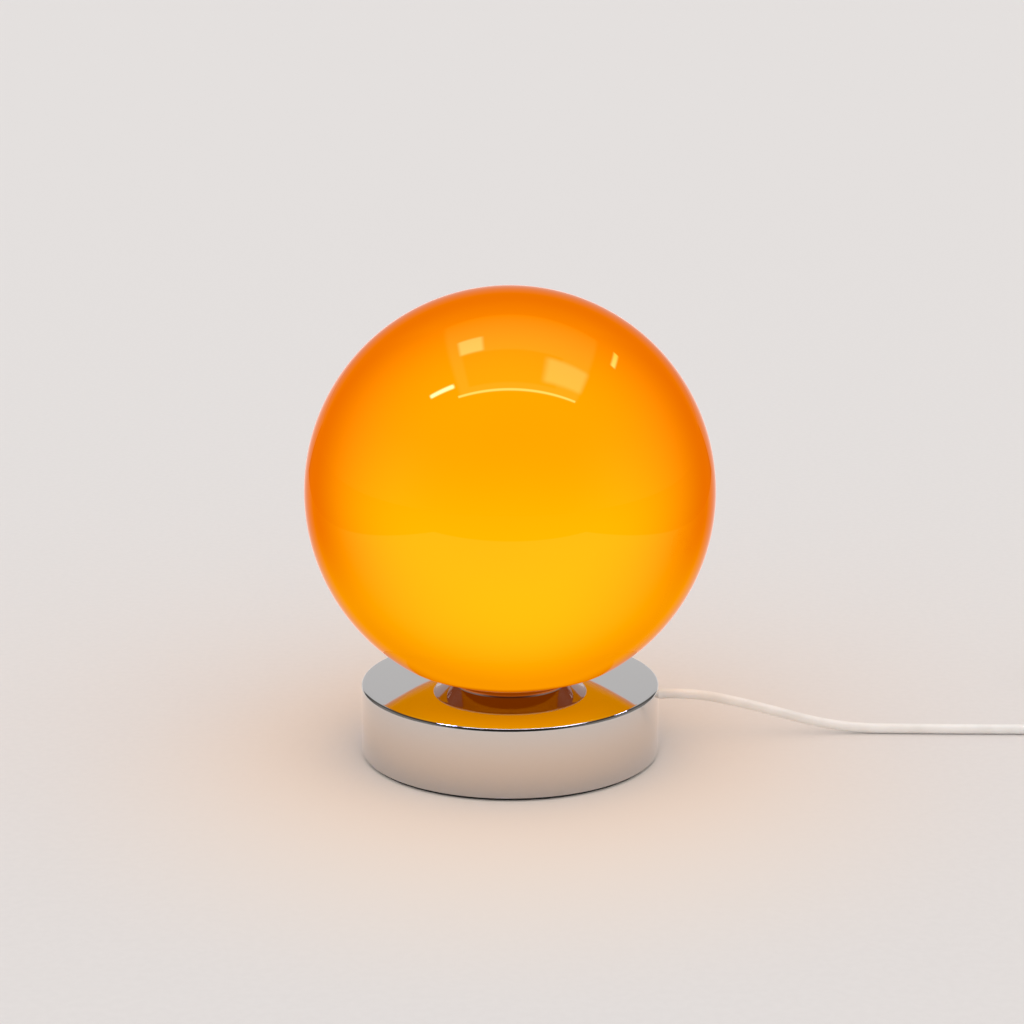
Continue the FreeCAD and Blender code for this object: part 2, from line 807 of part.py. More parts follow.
def rounded_path(name, points):
    """Straight runs joined by tangent arcs, each as large as its two runs allow."""
    edges = []
    start = points[0]
    radii = []
    for before, corner, after in zip(points, points[1:], points[2:]):
        back = before - corner
        ahead = after - corner
        turn = math.pi - back.getAngle(ahead)
        reach = 0.45 * min(back.Length, ahead.Length)
        radius = reach / math.tan(turn / 2)
        radii.append(radius)
        back.normalize()
        ahead.normalize()
        first = corner + back * reach
        last = corner + ahead * reach
        middle_way = back + ahead
        middle_way.normalize()
        to_centre = math.hypot(radius, reach)
        middle = corner + middle_way * (to_centre - radius)
        edges.append(Part.LineSegment(start, first).toShape())
        edges.append(Part.Arc(first, middle, last).toShape())
        start = last
    edges.append(Part.LineSegment(start, points[-1]).toShape())
    listed = ", ".join(f"{radius:.1f}" for radius in radii)
    print(f"{name}: bend radii {listed or 'none'} mm")
    return Part.Wire(edges)


def swept(name, path, radius):
    """Round solid swept along a wire, with its volume compared to section times length."""
    first = path.Edges[0]
    heading = first.tangentAt(first.FirstParameter)
    circle = Part.Circle(first.valueAt(first.FirstParameter), heading, float(radius))
    solid = path.makePipeShell([Part.Wire([circle.toShape()])], True, False)
    expected = math.pi * float(radius) ** 2 * path.Length
    print(f"{name}: length {path.Length:.1f} mm, volume {solid.Volume / expected:.4f} of section x length")
    return solid


def lead_points():
    """From the base's side down to the standing surface and on to the switch."""
    out = azimuth.multVec(V(1, 0, 0))
    leave = out * float(gland_face) + V(0, 0, s.exit_height)
    entry = float(s.switch_x - s.switch_length / 2)
    axis_height = float(s.switch_height / 2)
    y = float(s.switch_y)
    return [leave, leave + out * 18.0, V(125.0, 21.0, 15.8), V(168.0, 23.6, 2.7), V(212.0, 22.4, 2.5),
            V(252.0, 21.8, 2.5), V(285.0, y, 2.5), V(entry - 12.0, y, axis_height),
            V(entry, y, axis_height)]


def link_points():
    """From the switch to the coil's outermost turn."""
    leave = float(s.switch_x + s.switch_length / 2)
    axis_height = float(s.switch_height / 2)
    y = float(s.switch_y)
    low = float(coil_low())
    return [V(leave, y, axis_height), V(leave + 12.0, y, axis_height), V(leave + 28.0, y, low),
            V(s.coil_x, y, low)]


def tail_points():
    """From the coil's top layer to the plug beside it."""
    x = float(s.coil_x)
    y = float(s.switch_y + coil_outer() * 2)
    height = float(s.plug_thickness / 2)
    top = float(coil_low() + s.coil_pitch)
    rear = float(s.plug_x + s.plug_length + s.relief_length)
    return [V(x, y, top), V(x - 13.0, y, top), V(rear + 12.0, y, height), V(rear, y, height)]


def coil_low():
    return s.tie_thickness + s.cord_radius


def coil_outer():
    return s.coil_mean_radius + s.coil_pitch * (COIL_TURNS / 4)


def coil_radius(turn):
    """Radius after so many turns: in at a steady rate, and out again."""
    inward = COIL_TURNS / 2 - abs(turn - COIL_TURNS / 2)
    return float(coil_outer()) - float(s.coil_pitch) * inward


def coil_height(turn):
    """Height after so many turns: the climb is the half turn about the middle."""
    share = min(max((turn - COIL_TURNS / 2) * 2 + 0.5, 0.0), 1.0)
    return float(coil_low()) + float(s.coil_pitch) * share * share * (3 - 2 * share)


def coil_point(turn):
    angle = 2 * math.pi * turn - math.pi / 2
    centre = V(s.coil_x, s.switch_y + coil_outer(), 0)
    radius = coil_radius(turn)
    return centre + V(radius * math.cos(angle), radius * math.sin(angle), coil_height(turn))


def coil_heading(turn):
    """Direction of travel; it is plain round at both ends and at the middle."""
    step = 0.0005
    angle = 2 * math.pi * turn - math.pi / 2
    flat = V(-math.sin(angle), math.cos(angle), 0)
    if turn in (0.0, COIL_TURNS):
        return flat
    way = coil_point(turn + step) - coil_point(turn - step)
    return way.normalize()


def biarc(start, start_way, end, end_way):
    """Two tangent arcs from start to end that leave and arrive in the given directions."""
    gap = end - start
    ways = start_way + end_way
    spread = 2 * (1 - start_way.dot(end_way))
    drop = gap.dot(ways)
    reach = (-drop + math.sqrt(drop * drop + spread * gap.dot(gap))) / spread
    first_knee = start + start_way * reach
    last_knee = end - end_way * reach
    joint = (first_knee + last_knee) * 0.5
    return [tangent_arc(start, first_knee, joint), tangent_arc(joint, last_knee, end)]


def tangent_arc(start, knee, end):
    """Arc that touches the lines from the knee to both ends."""
    chord_middle = (start + end) * 0.5
    half = (end - start).Length / 2
    reach = (knee - start).Length
    rise = knee - chord_middle
    radius = reach * half / rise.Length
    middle = chord_middle + rise.normalize() * (radius * (1 - half / reach))
    return Part.Arc(start, middle, end).toShape()


def make_coil():
    edges = []
    quarters = int(COIL_TURNS * 4)
    for quarter in range(quarters):
        turn = quarter / 4
        following = (quarter + 1) / 4
        edges += biarc(coil_point(turn), coil_heading(turn),
                       coil_point(following), coil_heading(following))
    path = Part.Wire(edges)
    solid_feature("cord_coil", swept("cord_coil", path, s.cord_radius))
    report_coil_gap(path)


def report_coil_gap(path):
    """Least distance between stretches of the coil that lie at least a third of a turn apart."""
    spacing = 2.0
    points = path.discretize(Number=int(path.Length / spacing))
    apart = int(2 * math.pi * float(s.coil_mean_radius) / 3 / spacing)
    least = min((points[index] - points[other]).Length
                for index in range(len(points)) for other in range(index + apart, len(points)))
    print(f"cord_coil: least gap to itself {least - 2 * float(s.cord_radius):.2f} mm")


def make_ties():
    """Two straps round the bundle of turns, on opposite sides."""
    wrap = float(s.side_clearance)
    ties = []
    for turn, side in ((0.25, 0.0), (0.75, 180.0)):
        radii = [coil_radius(turn + whole) for whole in range(int(COIL_TURNS))]
        thick = float(s.tie_thickness)
        width = float(s.tie_width)
        # the innermost turn curves away behind the strap's inner face
        low = math.sqrt((min(radii) - s.cord_radius) ** 2 - (width / 2) ** 2) - 2 * wrap
        high = max(radii) + float(s.cord_radius + wrap)
        top = float(coil_low() + s.coil_pitch + s.cord_radius + wrap)
        outside = Part.makeBox(high - low + 2 * thick, width, top + thick, V(low - thick, -width / 2, 0))
        inside = Part.makeBox(high - low, width, top - thick, V(low, -width / 2, thick))
        strap = outside.cut(inside)
        long_edges = [edge for edge in strap.Edges
                      if edge.BoundBox.YLength > width - 0.01 and edge.BoundBox.ZMin > thick
                      and edge.BoundBox.ZMax > top + thick / 2]
        strap = strap.makeFillet(thick, long_edges)
        strap.Placement = at(s.coil_x, s.switch_y + coil_outer(), 0,
                             FreeCAD.Rotation(V(0, 0, 1), side))
        ties.append(strap)
    solid_feature("coil_ties", Part.makeCompound(ties))


def make_cord():
    for name, points in (("cord_lead", lead_points()), ("cord_link", link_points()),
                         ("cord_tail", tail_points())):
        solid_feature(name, swept(name, rounded_path(name, points), s.cord_radius))
    make_coil()
    make_ties()


# ---------------------------------------------------------------- cord inside the base

def make_cord_entry():
    inner_head_face = shell_inner - s.side_clearance
    inner_head_back = inner_head_face - s.gland_inner_head
    tail_end = inner_head_back - s.gland_tail
    soft_edge = s.gland_head * 0.4
    gland = turned("cord_gland", [
        (tail_end, cord_bore),
        (gland_face, cord_bore),
        (gland_face, s.gland_head_radius - soft_edge, soft_edge, 1),
        (gland_face - soft_edge, s.gland_head_radius),
        (s.base_radius, s.gland_head_radius),
        (s.base_radius, s.gland_neck_radius),
        (inner_head_face, s.gland_neck_radius),
        (inner_head_face, s.gland_head_radius),
        (inner_head_back, s.gland_head_radius),
        (inner_head_back, s.gland_head_radius - 1.0),
        (tail_end, cord_bore + 0.8)], axis="H_Axis")
    gland.Placement = at(0, 0, s.exit_height, azimuth)

    sheath = turned("cord_inner", [
        (s.sheath_end, 0.0), (gland_face, 0.0), (gland_face, s.cord_radius),
        (s.sheath_end, s.cord_radius)], axis="H_Axis")
    sheath.Placement = at(0, 0, s.exit_height, azimuth)

    half_gap = s.clamp_gap / 2
    notch = leg(cord_bore, half_gap)
    wide = s.clamp_half_width
    base_top = s.exit_height - half_gap
    bar_low = s.exit_height + half_gap
    bar_top = bar_low + s.clamp_bar_height
    clamp_base = new_body("cord_clamp_base")
    extruded(clamp_base, "YZ_Plane", s.clamp_start, s.clamp_length, outlines=[[
        (-wide, ballast_top), (wide, ballast_top), (wide, base_top),
        (notch, base_top, cord_bore, -1), (-notch, base_top), (-wide, base_top)]])
    clamp_bar = new_body("cord_clamp_bar")
    extruded(clamp_bar, "YZ_Plane", s.clamp_start, s.clamp_length, outlines=[[
        (-wide, bar_low), (-notch, bar_low, cord_bore, -1), (notch, bar_low), (wide, bar_low),
        (wide, bar_top), (-wide, bar_top)]])
    clear = s.clamp_screw_radius + s.side_clearance
    holes = [(x, y, clear) for x, y in clamp_points()]
    pocketed(clamp_base, "XY_Plane", base_top, base_top - ballast_top, circles=holes)
    pocketed(clamp_bar, "XY_Plane", bar_top, s.clamp_bar_height, circles=holes)
    towards_cord(clamp_base, clamp_bar)

    head_top = bar_top + s.clamp_screw_head_height
    shaft_end = ballast_top - s.clamp_screw_reach
    screw = turned("clamp_screw_template", [
        (0.0, shaft_end), (s.clamp_screw_radius, shaft_end), (s.clamp_screw_radius, bar_top),
        (s.clamp_screw_head, bar_top), (s.clamp_screw_head, bar_top + s.clamp_screw_head_height / 2),
        (s.clamp_screw_head * 0.75, head_top), (0.0, head_top)], keep=False)
    pocketed(screw, "XY_Plane", head_top, s.slot_depth,
             outlines=[box_outline(-s.clamp_screw_head, s.clamp_screw_head,
                                   -s.slot_width / 2, s.slot_width / 2)])
    screws = copies("cord_clamp_screws", screw, [at(x, y) for x, y in clamp_points()])
    screws.Placement = FreeCAD.Placement(V(0, 0, 0), azimuth)


def make_wires():
    """Live and neutral from the sheath's end, under the cup and up the threaded tube."""
    passage = float(ballast_top + s.wire_gap / 2)
    below = float(nipple_bottom) - 3.6
    edge = float(s.ballast_bore)
    start = float(s.sheath_end)
    height = float(s.exit_height)
    bore_end = float(nipple_top) + 1.2
    clamp = float(insert_bottom - s.terminal_size)
    for name, side in (("wire_live", -1), ("wire_neutral", 1)):
        near = side * float(s.wire_spacing)
        wide = side * float(s.terminal_offset)
        points = [V(start, near, height), V(start - 4.0, near, height),
                  V(float(s.well_radius) + 3.0, near, passage), V(edge - 3.5, near, passage),
                  V(edge - 9.0, near, below), V(0, near, below), V(0, near, bore_end),
                  V(0, wide, clamp - 3.1), V(0, wide, clamp)]
        wire = solid_feature(name, swept(name, rounded_path(name, points), s.wire_radius))
        wire.Placement = FreeCAD.Placement(V(0, 0, 0), azimuth)


# ---------------------------------------------------------------- inline switch

def boss_points():
    return [(-s.switch_boss_x, s.switch_boss_y), (s.switch_boss_x, -s.switch_boss_y)]


def make_switch_housing():
    half_x = s.switch_length / 2
    half_y = s.switch_width / 2
    parting = s.switch_height / 2
    corner = s.switch_corner
    cavity = rounded_box(half_x - s.switch_wall, half_y - s.switch_wall, corner - s.switch_wall)
    rib_x = half_x - s.switch_wall * 3
    rib_y = half_y - s.switch_wall * 3
    rib_half = s.switch_wall / 2
    ribs = [box_outline(side * rib_x - rib_half, side * rib_x + rib_half, -rib_y, rib_y)
            for side in (-1, 1)]
    bosses = [(x, y, s.switch_boss) for x, y in boss_points()]
    floor = s.switch_wall
    depth = parting - s.switch_wall

    lower = new_body("switch_lower")
    extruded(lower, "XY_Plane", 0.0, parting, outlines=[rounded_box(half_x, half_y, corner)])
    rounded(lower, s.switch_wall * 0.9, at_height(0.0))
    pocketed(lower, "XY_Plane", parting, depth, outlines=[cavity])
    extruded(lower, "XY_Plane", floor, depth, circles=bosses)
    extruded(lower, "XY_Plane", floor, depth, outlines=ribs)
    pocketed(lower, "YZ_Plane", 0.0, s.switch_length + 2.0, symmetric=True,
             circles=[(0.0, parting, cord_bore)])
    head_room = s.switch_screw_head + s.side_clearance
    pocketed(lower, "XY_Plane", 0.0, s.switch_wall, upward=True,
             circles=[(x, y, head_room) for x, y in boss_points()])
    hole = s.switch_screw_radius + s.side_clearance
    pocketed(lower, "XY_Plane", parting, parting, circles=[(x, y, hole) for x, y in boss_points()])

    upper = new_body("switch_upper")
    extruded(upper, "XY_Plane", parting, parting, outlines=[rounded_box(half_x, half_y, corner)])
    rounded(upper, s.switch_edge, at_height(s.switch_height))
    pocketed(upper, "XY_Plane", parting, depth, outlines=[cavity], upward=True)
    extruded(upper, "XY_Plane", parting, depth, circles=bosses)
    extruded(upper, "XY_Plane", parting, depth, outlines=ribs)
    window_x = s.rocker_radius + s.side_clearance + 0.1
    window_y = s.rocker_half_width + s.side_clearance
    ear = s.pin_radius * 3
    ear_out = window_y + 2.0
    ear_low = s.rocker_pivot - 2.0
    ear_height = s.switch_height - s.switch_wall - ear_low
    for side in (-1, 1):
        extruded(upper, "XY_Plane", ear_low, ear_height,
                 outlines=[box_outline(-ear, ear, *sorted((side * window_y, side * ear_out)))])
    pocketed(upper, "YZ_Plane", 0.0, s.switch_length + 2.0, symmetric=True,
             circles=[(0.0, parting, cord_bore)])
    pocketed(upper, "XY_Plane", s.switch_height, s.switch_wall,
             outlines=[box_outline(-window_x, window_x, -window_y, window_y)])
    thread = s.switch_screw_radius + s.thread_clearance
    pocketed(upper, "XY_Plane", parting, depth - 1.0, upward=True,
             circles=[(x, y, thread) for x, y in boss_points()])
    pocketed(upper, "XZ_Plane", 0.0, ear_out * 2 + 1.0, symmetric=True,
             circles=[(0.0, s.rocker_pivot, s.pin_radius + s.pin_clearance)])

    head_low = 0.2
    shaft_top = s.switch_height - s.switch_wall - 1.4
    screw = turned("switch_screw_template", [
        (0.0, head_low), (s.switch_screw_head, head_low), (s.switch_screw_head, s.switch_wall),
        (s.switch_screw_radius, s.switch_wall), (s.switch_screw_radius, shaft_top),
        (0.0, shaft_top)], keep=False)
    pocketed(screw, "XY_Plane", head_low, s.slot_depth, upward=True,
             outlines=[box_outline(-s.switch_screw_head, s.switch_screw_head,
                                   -s.slot_width / 2, s.slot_width / 2)])
    home = at(s.switch_x, s.switch_y)
    copies("switch_screws", screw, [home.multiply(at(x, y)) for x, y in boss_points()])
    lower.Placement = home
    upper.Placement = home


def make_rocker():
    """Rocker, pin and plunger, drawn about the pivot and tipped to the on position."""
    rise = s.rocker_end_rise
    radius = s.rocker_radius
    skirt = s.rocker_skirt
    top_x = leg(radius, rise)
    skirt_x = leg(radius, skirt)
    nose = s.nose_half_width
    rocker = new_body("switch_rocker")
    extruded(rocker, "XZ_Plane", 0.0, s.rocker_half_width * 2, symmetric=True, outlines=[[
        (-top_x, rise, radius, 1), (-skirt_x, -skirt), (-nose - 0.8, -skirt), (-nose, -s.nose_depth),
        (nose, -s.nose_depth), (nose + 0.8, -skirt), (skirt_x, -skirt, radius, 1), (top_x, rise),
        (0.0, s.rocker_dip_rise)]])
    pocketed(rocker, "XZ_Plane", 0.0, s.rocker_half_width * 2 + 1.0, symmetric=True,
             circles=[(0.0, 0.0, s.pin_radius + s.pin_clearance)])

    tip = s.plunger_radius * 0.6
    plunger = turned("switch_plunger", [
        (0.0, -s.plunger_reach), (s.plunger_radius - tip, -s.plunger_reach, tip, 1),
        (s.plunger_radius, -s.plunger_reach + tip), (s.plunger_radius, -s.nose_depth),
        (0.0, -s.nose_depth)])

    half_pin = s.rocker_half_width + s.side_clearance + 2.0
    pin = new_body("switch_rocker_pin")
    extruded(pin, "XZ_Plane", 0.0, half_pin * 2, symmetric=True, circles=[(0.0, 0.0, s.pin_radius)])
    pivot = V(s.switch_x, s.switch_y, s.rocker_pivot)
    tipped = FreeCAD.Rotation(V(0, 1, 0), -s.rocker_tilt)
    rocker.Placement = FreeCAD.Placement(pivot, tipped)
    plunger.Placement = FreeCAD.Placement(pivot, tipped)
    pin.Placement = FreeCAD.Placement(pivot, FreeCAD.Rotation())


def make_contacts():
    wide = s.lever_half_width
    lever = new_body("switch_lever")
    extruded(lever, "XZ_Plane", 0.0, wide * 2, symmetric=True, outlines=[
        box_outline(-s.lever_half_length, s.lever_half_length, 0.0, s.lever_thickness)])
    tipped = FreeCAD.Rotation(V(0, 1, 0), s.lever_tilt)
    lever.Placement = FreeCAD.Placement(V(s.switch_x, s.switch_y, s.lever_pivot), tipped)

    floor = s.switch_wall
    strip = 0.8
    post_in = wide + 1.5
    post_out = post_in + 3.0
    post_height = 2.8
    home = at(s.switch_x, s.switch_y)

    fulcrum = new_body("switch_fulcrum")
    foot = 1.2
    extruded(fulcrum, "XY_Plane", floor, strip, outlines=[box_outline(-foot, foot, -post_out, wide)])
    extruded(fulcrum, "XY_Plane", floor + strip, post_height,
             outlines=[box_outline(-foot, foot, -post_out, -post_in)])
    knife_top = s.lever_pivot - s.seat_clearance
    extruded(fulcrum, "XZ_Plane", 0.0, wide * 2, symmetric=True, outlines=[[
        (-foot, floor + strip), (foot, floor + strip), (foot / 6, knife_top), (-foot / 6, knife_top)]])
    fulcrum.Placement = home

    drop = along(s.contact_offset + 1.0, s.lever_tilt)[1]
    dome_top = s.lever_pivot - drop - s.seat_clearance
    fixed = new_body("switch_fixed_contact")
    near = s.contact_offset - 1.4
    far = s.contact_offset + 1.4
    extruded(fixed, "XY_Plane", floor, strip, outlines=[box_outline(near, far, -post_out, wide)])
    extruded(fixed, "XY_Plane", floor + strip, post_height,
             outlines=[box_outline(near, far, -post_out, -post_in)])
    extruded(fixed, "XY_Plane", floor + strip, dome_top - floor - strip,
             circles=[(s.contact_offset, 0.0, 1.2)])
    fixed.Placement = home
    make_switch_wiring(home, post_in, post_out, foot, far, floor + strip)


def make_switch_wiring(home, post_in, post_out, foot, far, strip_top):
    """Two cut ends of the cord, the live wires to the contacts and the neutral straight through."""
    half = s.switch_length / 2
    level = s.switch_height / 2
    stub = new_body("stub_template", keep=False)
    extruded(stub, "YZ_Plane", half - s.switch_stub, s.switch_stub, circles=[(0.0, level, s.cord_radius)])
    half_turn = FreeCAD.Rotation(V(0, 0, 1), 180)
    copies("switch_cord_ends", stub, [home, home.multiply(at(0, 0, 0, half_turn))])

    inner = float(half - s.switch_stub)
    high = float(level)
    near = float(s.wire_spacing)
    side = float(post_in + post_out) / 2
    low = float(strip_top) + float(s.switch_wire_radius) + 0.5
    through = float(s.rocker_half_width) + 0.5
    routes = {
        "live in": [V(-inner, -near, high), V(-inner + 4.5, -near, high), V(-inner + 9.0, -side, low),
                    V(-float(foot), -side, low)],
        "live out": [V(inner, -near, high), V(inner - 4.5, -near, high), V(far + 4.0, -side, low),
                     V(far, -side, low)],
        "neutral": [V(-inner, near, high), V(-inner + 5.0, near, high), V(-inner + 10.0, through, low),
                    V(inner - 10.0, through, low), V(inner - 5.0, near, high), V(inner, near, high)],
    }
    wires = [swept(name, rounded_path(name, points), s.switch_wire_radius)
             for name, points in routes.items()]
    group = solid_feature("switch_wires", Part.makeCompound(wires))
    group.Placement = home


# ---------------------------------------------------------------- plug

def make_plug():
    """Flat plug drawn with its pins along +X, then laid on the standing surface facing -X."""
    rear = -s.plug_length
    wide = s.plug_half_width
    narrow = s.plug_rear_half_width
    shoulder = -s.plug_length / 3
    body = new_body("plug_body")
    extruded(body, "XY_Plane", 0.0, s.plug_thickness, symmetric=True, outlines=[[
        (rear, -narrow), (shoulder, -wide), (0.0, -wide), (0.0, wide), (shoulder, wide),
        (rear, narrow)]])
    rounded(body, s.plug_edge, lambda edge: edge.BoundBox.XMax < -0.01)
    spacing = s.pin_spacing / 2
    socket = s.plug_pin_core + 0.02
    root_depth = s.plug_sleeve_length
    pocketed(body, "YZ_Plane", 0.0, root_depth,
             circles=[(spacing, 0.0, socket), (-spacing, 0.0, socket)])
    groove_depth = 0.6
    face = s.plug_thickness / 2
    first = shoulder - 3.0
    grooves = [box_outline(first - 3.0 * index - 1.2, first - 3.0 * index, -narrow, narrow)
               for index in range(GRIP_GROOVES)]
    pocketed(body, "XY_Plane", face, groove_depth, outlines=grooves)
    pocketed(body, "XY_Plane", -face, groove_depth, outlines=grooves, upward=True)

    relief = turned("plug_relief", relief_outline(rear), axis="H_Axis")
    tip = s.plug_pin_radius * 0.4
    pin = turned("plug_pin_template", [
        (-root_depth, 0.0), (s.plug_pin_length, 0.0), (s.plug_pin_length, s.plug_pin_radius - tip, tip, 1),
        (s.plug_pin_length - tip, s.plug_pin_radius), (s.plug_sleeve_length, s.plug_pin_radius),
        (s.plug_sleeve_length, s.plug_pin_core), (-root_depth, s.plug_pin_core)],
        axis="H_Axis", keep=False)
    sleeve = turned("plug_sleeve_template", [
        (0.0, socket), (s.plug_sleeve_length, socket), (s.plug_sleeve_length, s.plug_sleeve_radius),
        (0.0, s.plug_sleeve_radius)], axis="H_Axis", keep=False)
    half_turn = FreeCAD.Rotation(V(0, 0, 1), 180)
    home = at(s.plug_x, s.switch_y + coil_outer() * 2, s.plug_thickness / 2, half_turn)
    pair = [home.multiply(at(0, spacing)), home.multiply(at(0, -spacing))]
    copies("plug_pins", pin, pair)
    copies("plug_pin_sleeves", sleeve, pair)
    body.Placement = home
    relief.Placement = home


def relief_outline(rear):
    """Tapered sleeve with ribs, thinner towards the cord."""
    end = rear - s.relief_length
    corners = [(end, 0.0), (rear, 0.0), (rear, s.relief_root)]
    step = s.relief_length / (RELIEF_RIBS + 0.5)
    taper = (s.relief_root - s.relief_end) / RELIEF_RIBS
    for rib in range(RELIEF_RIBS):
        radius = s.relief_root - taper * rib
        rib_end = rear - step * rib - step * 0.6
        groove_end = rear - step * (rib + 1)
        corners += [(rib_end, radius), (rib_end, radius - 0.7), (groove_end, radius - 0.7)]
        corners.append((groove_end, radius - taper))
    corners.append((end, s.relief_end))
    return corners


# ---------------------------------------------------------------- checks and export

def check_document():
    for item in doc.Objects:
        if "Invalid" in item.State or "Error" in item.State:
            raise RuntimeError(f"{item.Name} failed: {item.State}")
        if item.TypeId in ("PartDesign::Pocket", "PartDesign::Groove"):
            if item.Shape.Volume >= item.BaseFeature.Shape.Volume - 1e-6:
                raise RuntimeError(f"{item.Name} cuts nothing")
    for item in kept:
        if item.Shape.isNull() or not item.Shape.isValid() or item.Shape.Volume <= 0:
            raise RuntimeError(f"{item.Label} has no valid shape")


def export():
    os.makedirs("parts", exist_ok=True)
    for item in kept:
        item.Shape.exportStep(f"parts/{item.Label}.step")
        box = item.Shape.optimalBoundingBox(False, False)
        print(f"{item.Label}: {len(item.Shape.Solids)} solid(s), {item.Shape.Volume:.1f} mm3, "
              f"z {box.ZMin:.2f} to {box.ZMax:.2f}")


make_base()
make_globe_holder()
make_lampholder()
make_bulb()
make_cord_entry()
make_wires()
make_switch_housing()
make_rocker()
make_contacts()
make_plug()
make_cord()
doc.recompute()
check_document()
export()
print(f"{len(kept)} nodes")
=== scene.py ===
import json
import math

import bmesh
import bpy
from mathutils import Matrix, Vector

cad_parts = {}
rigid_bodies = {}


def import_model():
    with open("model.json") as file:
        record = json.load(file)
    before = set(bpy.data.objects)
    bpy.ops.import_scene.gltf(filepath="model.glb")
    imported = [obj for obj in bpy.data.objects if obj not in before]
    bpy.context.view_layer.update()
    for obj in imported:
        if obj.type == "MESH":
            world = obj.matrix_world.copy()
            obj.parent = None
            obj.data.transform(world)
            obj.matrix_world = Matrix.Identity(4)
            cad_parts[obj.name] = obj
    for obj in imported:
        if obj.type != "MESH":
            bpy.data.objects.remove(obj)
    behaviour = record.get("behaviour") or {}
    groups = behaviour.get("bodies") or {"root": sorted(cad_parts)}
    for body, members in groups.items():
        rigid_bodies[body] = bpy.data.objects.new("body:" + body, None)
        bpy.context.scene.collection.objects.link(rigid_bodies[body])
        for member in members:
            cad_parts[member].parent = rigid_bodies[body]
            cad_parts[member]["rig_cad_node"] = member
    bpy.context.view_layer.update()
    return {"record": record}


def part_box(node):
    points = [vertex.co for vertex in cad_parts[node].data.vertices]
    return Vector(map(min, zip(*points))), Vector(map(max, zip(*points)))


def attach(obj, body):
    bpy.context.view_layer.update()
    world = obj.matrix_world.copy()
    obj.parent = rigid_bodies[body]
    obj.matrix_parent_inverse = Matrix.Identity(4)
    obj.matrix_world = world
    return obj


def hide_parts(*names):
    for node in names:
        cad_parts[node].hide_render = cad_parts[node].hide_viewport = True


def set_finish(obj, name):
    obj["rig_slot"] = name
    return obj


# Globe table lamp. Metres, in the part's own frame: +Z up, front at -Y, origin on the table
# under the globe.

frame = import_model()

CAMERA_PLACE = (0.00096, -1.06088, 0.38166)
CAMERA_PITCH = math.radians(76.292)
CAMERA_LENS = 77.96

CORD = 0.005
AXIS_SEGMENTS = 192
GLASS_WALL = 0.0025
GLASS_POLISH = 0.0005
FOOT_RADIUS = 0.0395
FOOT_ANGLE = 55.5
GASKET_WIDTH = 0.0023
WELL_RADIUS = 0.0270
WELL_CORNER = 0.003
CUP_BORE = 0.0052
CUP_WALL = 0.0010
CUP_FLOOR = 0.0012
CUP_LIP_EDGE = 0.0003
CUP_SEAT_WIDTH = 0.0050
CUP_FLARE_RADIUS = 0.120
FOOT_RING_WIDTH = 0.009

LEAD_ROUTE = [
    (0.07415, 0.01712, 0.0230), (0.09169, 0.02117, 0.0230), (0.125, 0.0210, 0.0158),
    (0.168, 0.0236, 0.0027), (0.212, 0.0224, 0.0025), (0.252, 0.0218, 0.0025),
    (0.285, 0.0216, 0.0025), (0.303, 0.0216, 0.0080), (0.315, 0.0216, 0.0080)]
LINK_ROUTE = [(0.377, 0.0216, 0.0080), (0.389, 0.0216, 0.0080), (0.405, 0.0216, 0.0033)]
TAIL_ROUTE = [(0.405, 0.102225, 0.0088), (0.390, 0.102225, 0.00685), (0.378, 0.102225, 0.00685)]

COIL_X = 0.418
COIL_TURNS = 7.5
COIL_PITCH = 0.0055
COIL_MEAN_RADIUS = 0.030
COIL_LOW = 0.0033
STEPS_PER_TURN = 16

WHITE_STAGE = (0.724, 0.701, 0.692)

# painted glow: emission standing in for the globe's light caught many times between collar, plate and
# glass
COLLAR_PAINTED_GLOW = (0.165, 0.025, 0.0)

# panes overhead, by their direction: (x / z, y / z) of the middle, half sizes, soft edge, colour
OVERHEAD_PANES = [
    ((0.10, 0.18), (0.56, 0.56), 0.03, (1.3, 1.28, 1.25)),
    ((0.02, -0.08), (0.38, 0.20), 0.02, (0.40, 0.38, 0.36)),
    ((-0.28, 0.24), (0.09, 0.10), 0.02, (9.0, 9.4, 14.0)),
    ((0.47, -0.08), (0.19, 0.15), 0.04, (5.5, 5.6, 7.5)),
    ((0.08, -0.365), (0.57, 0.014), 0.008, (12.0, 12.0, 16.0)),
    ((-0.64, -0.21), (0.14, 0.022), 0.02, (34.0, 36.0, 70.0)),
    ((0.89, 0.62), (0.03, 0.16), 0.02, (16.0, 16.0, 22.0)),
]


# ---------------------------------------------------------------- camera

def make_camera():
    data = bpy.data.cameras.new("camera")
    data.sensor_width = 36.0
    data.lens = CAMERA_LENS
    data.clip_start = 0.01
    data.clip_end = 100.0
    camera = bpy.data.objects.new("camera", data)
    camera.location = CAMERA_PLACE
    camera.rotation_euler = (CAMERA_PITCH, 0.0, 0.0)
    bpy.context.scene.collection.objects.link(camera)
    bpy.context.scene.camera = camera
    bpy.context.scene.view_settings.view_transform = "Standard"


# ---------------------------------------------------------------- cords

def cord_curve(name, points):
    """Round cord along a smooth NURBS line whose control points are the given ones."""
    data = bpy.data.curves.new(name, "CURVE")
    data.dimensions = "3D"
    data.resolution_u = 12
    data.bevel_depth = CORD / 2
    data.bevel_resolution = 8
    data.use_fill_caps = True
    spline = data.splines.new("NURBS")
    spline.points.add(len(points) - 1)
    for point, place in zip(spline.points, points):
        point.co = (*place, 1.0)
    spline.order_u = 3
    spline.use_endpoint_u = True
    cord = bpy.data.objects.new(name, data)
    bpy.context.scene.collection.objects.link(cord)
    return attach(cord, "base")


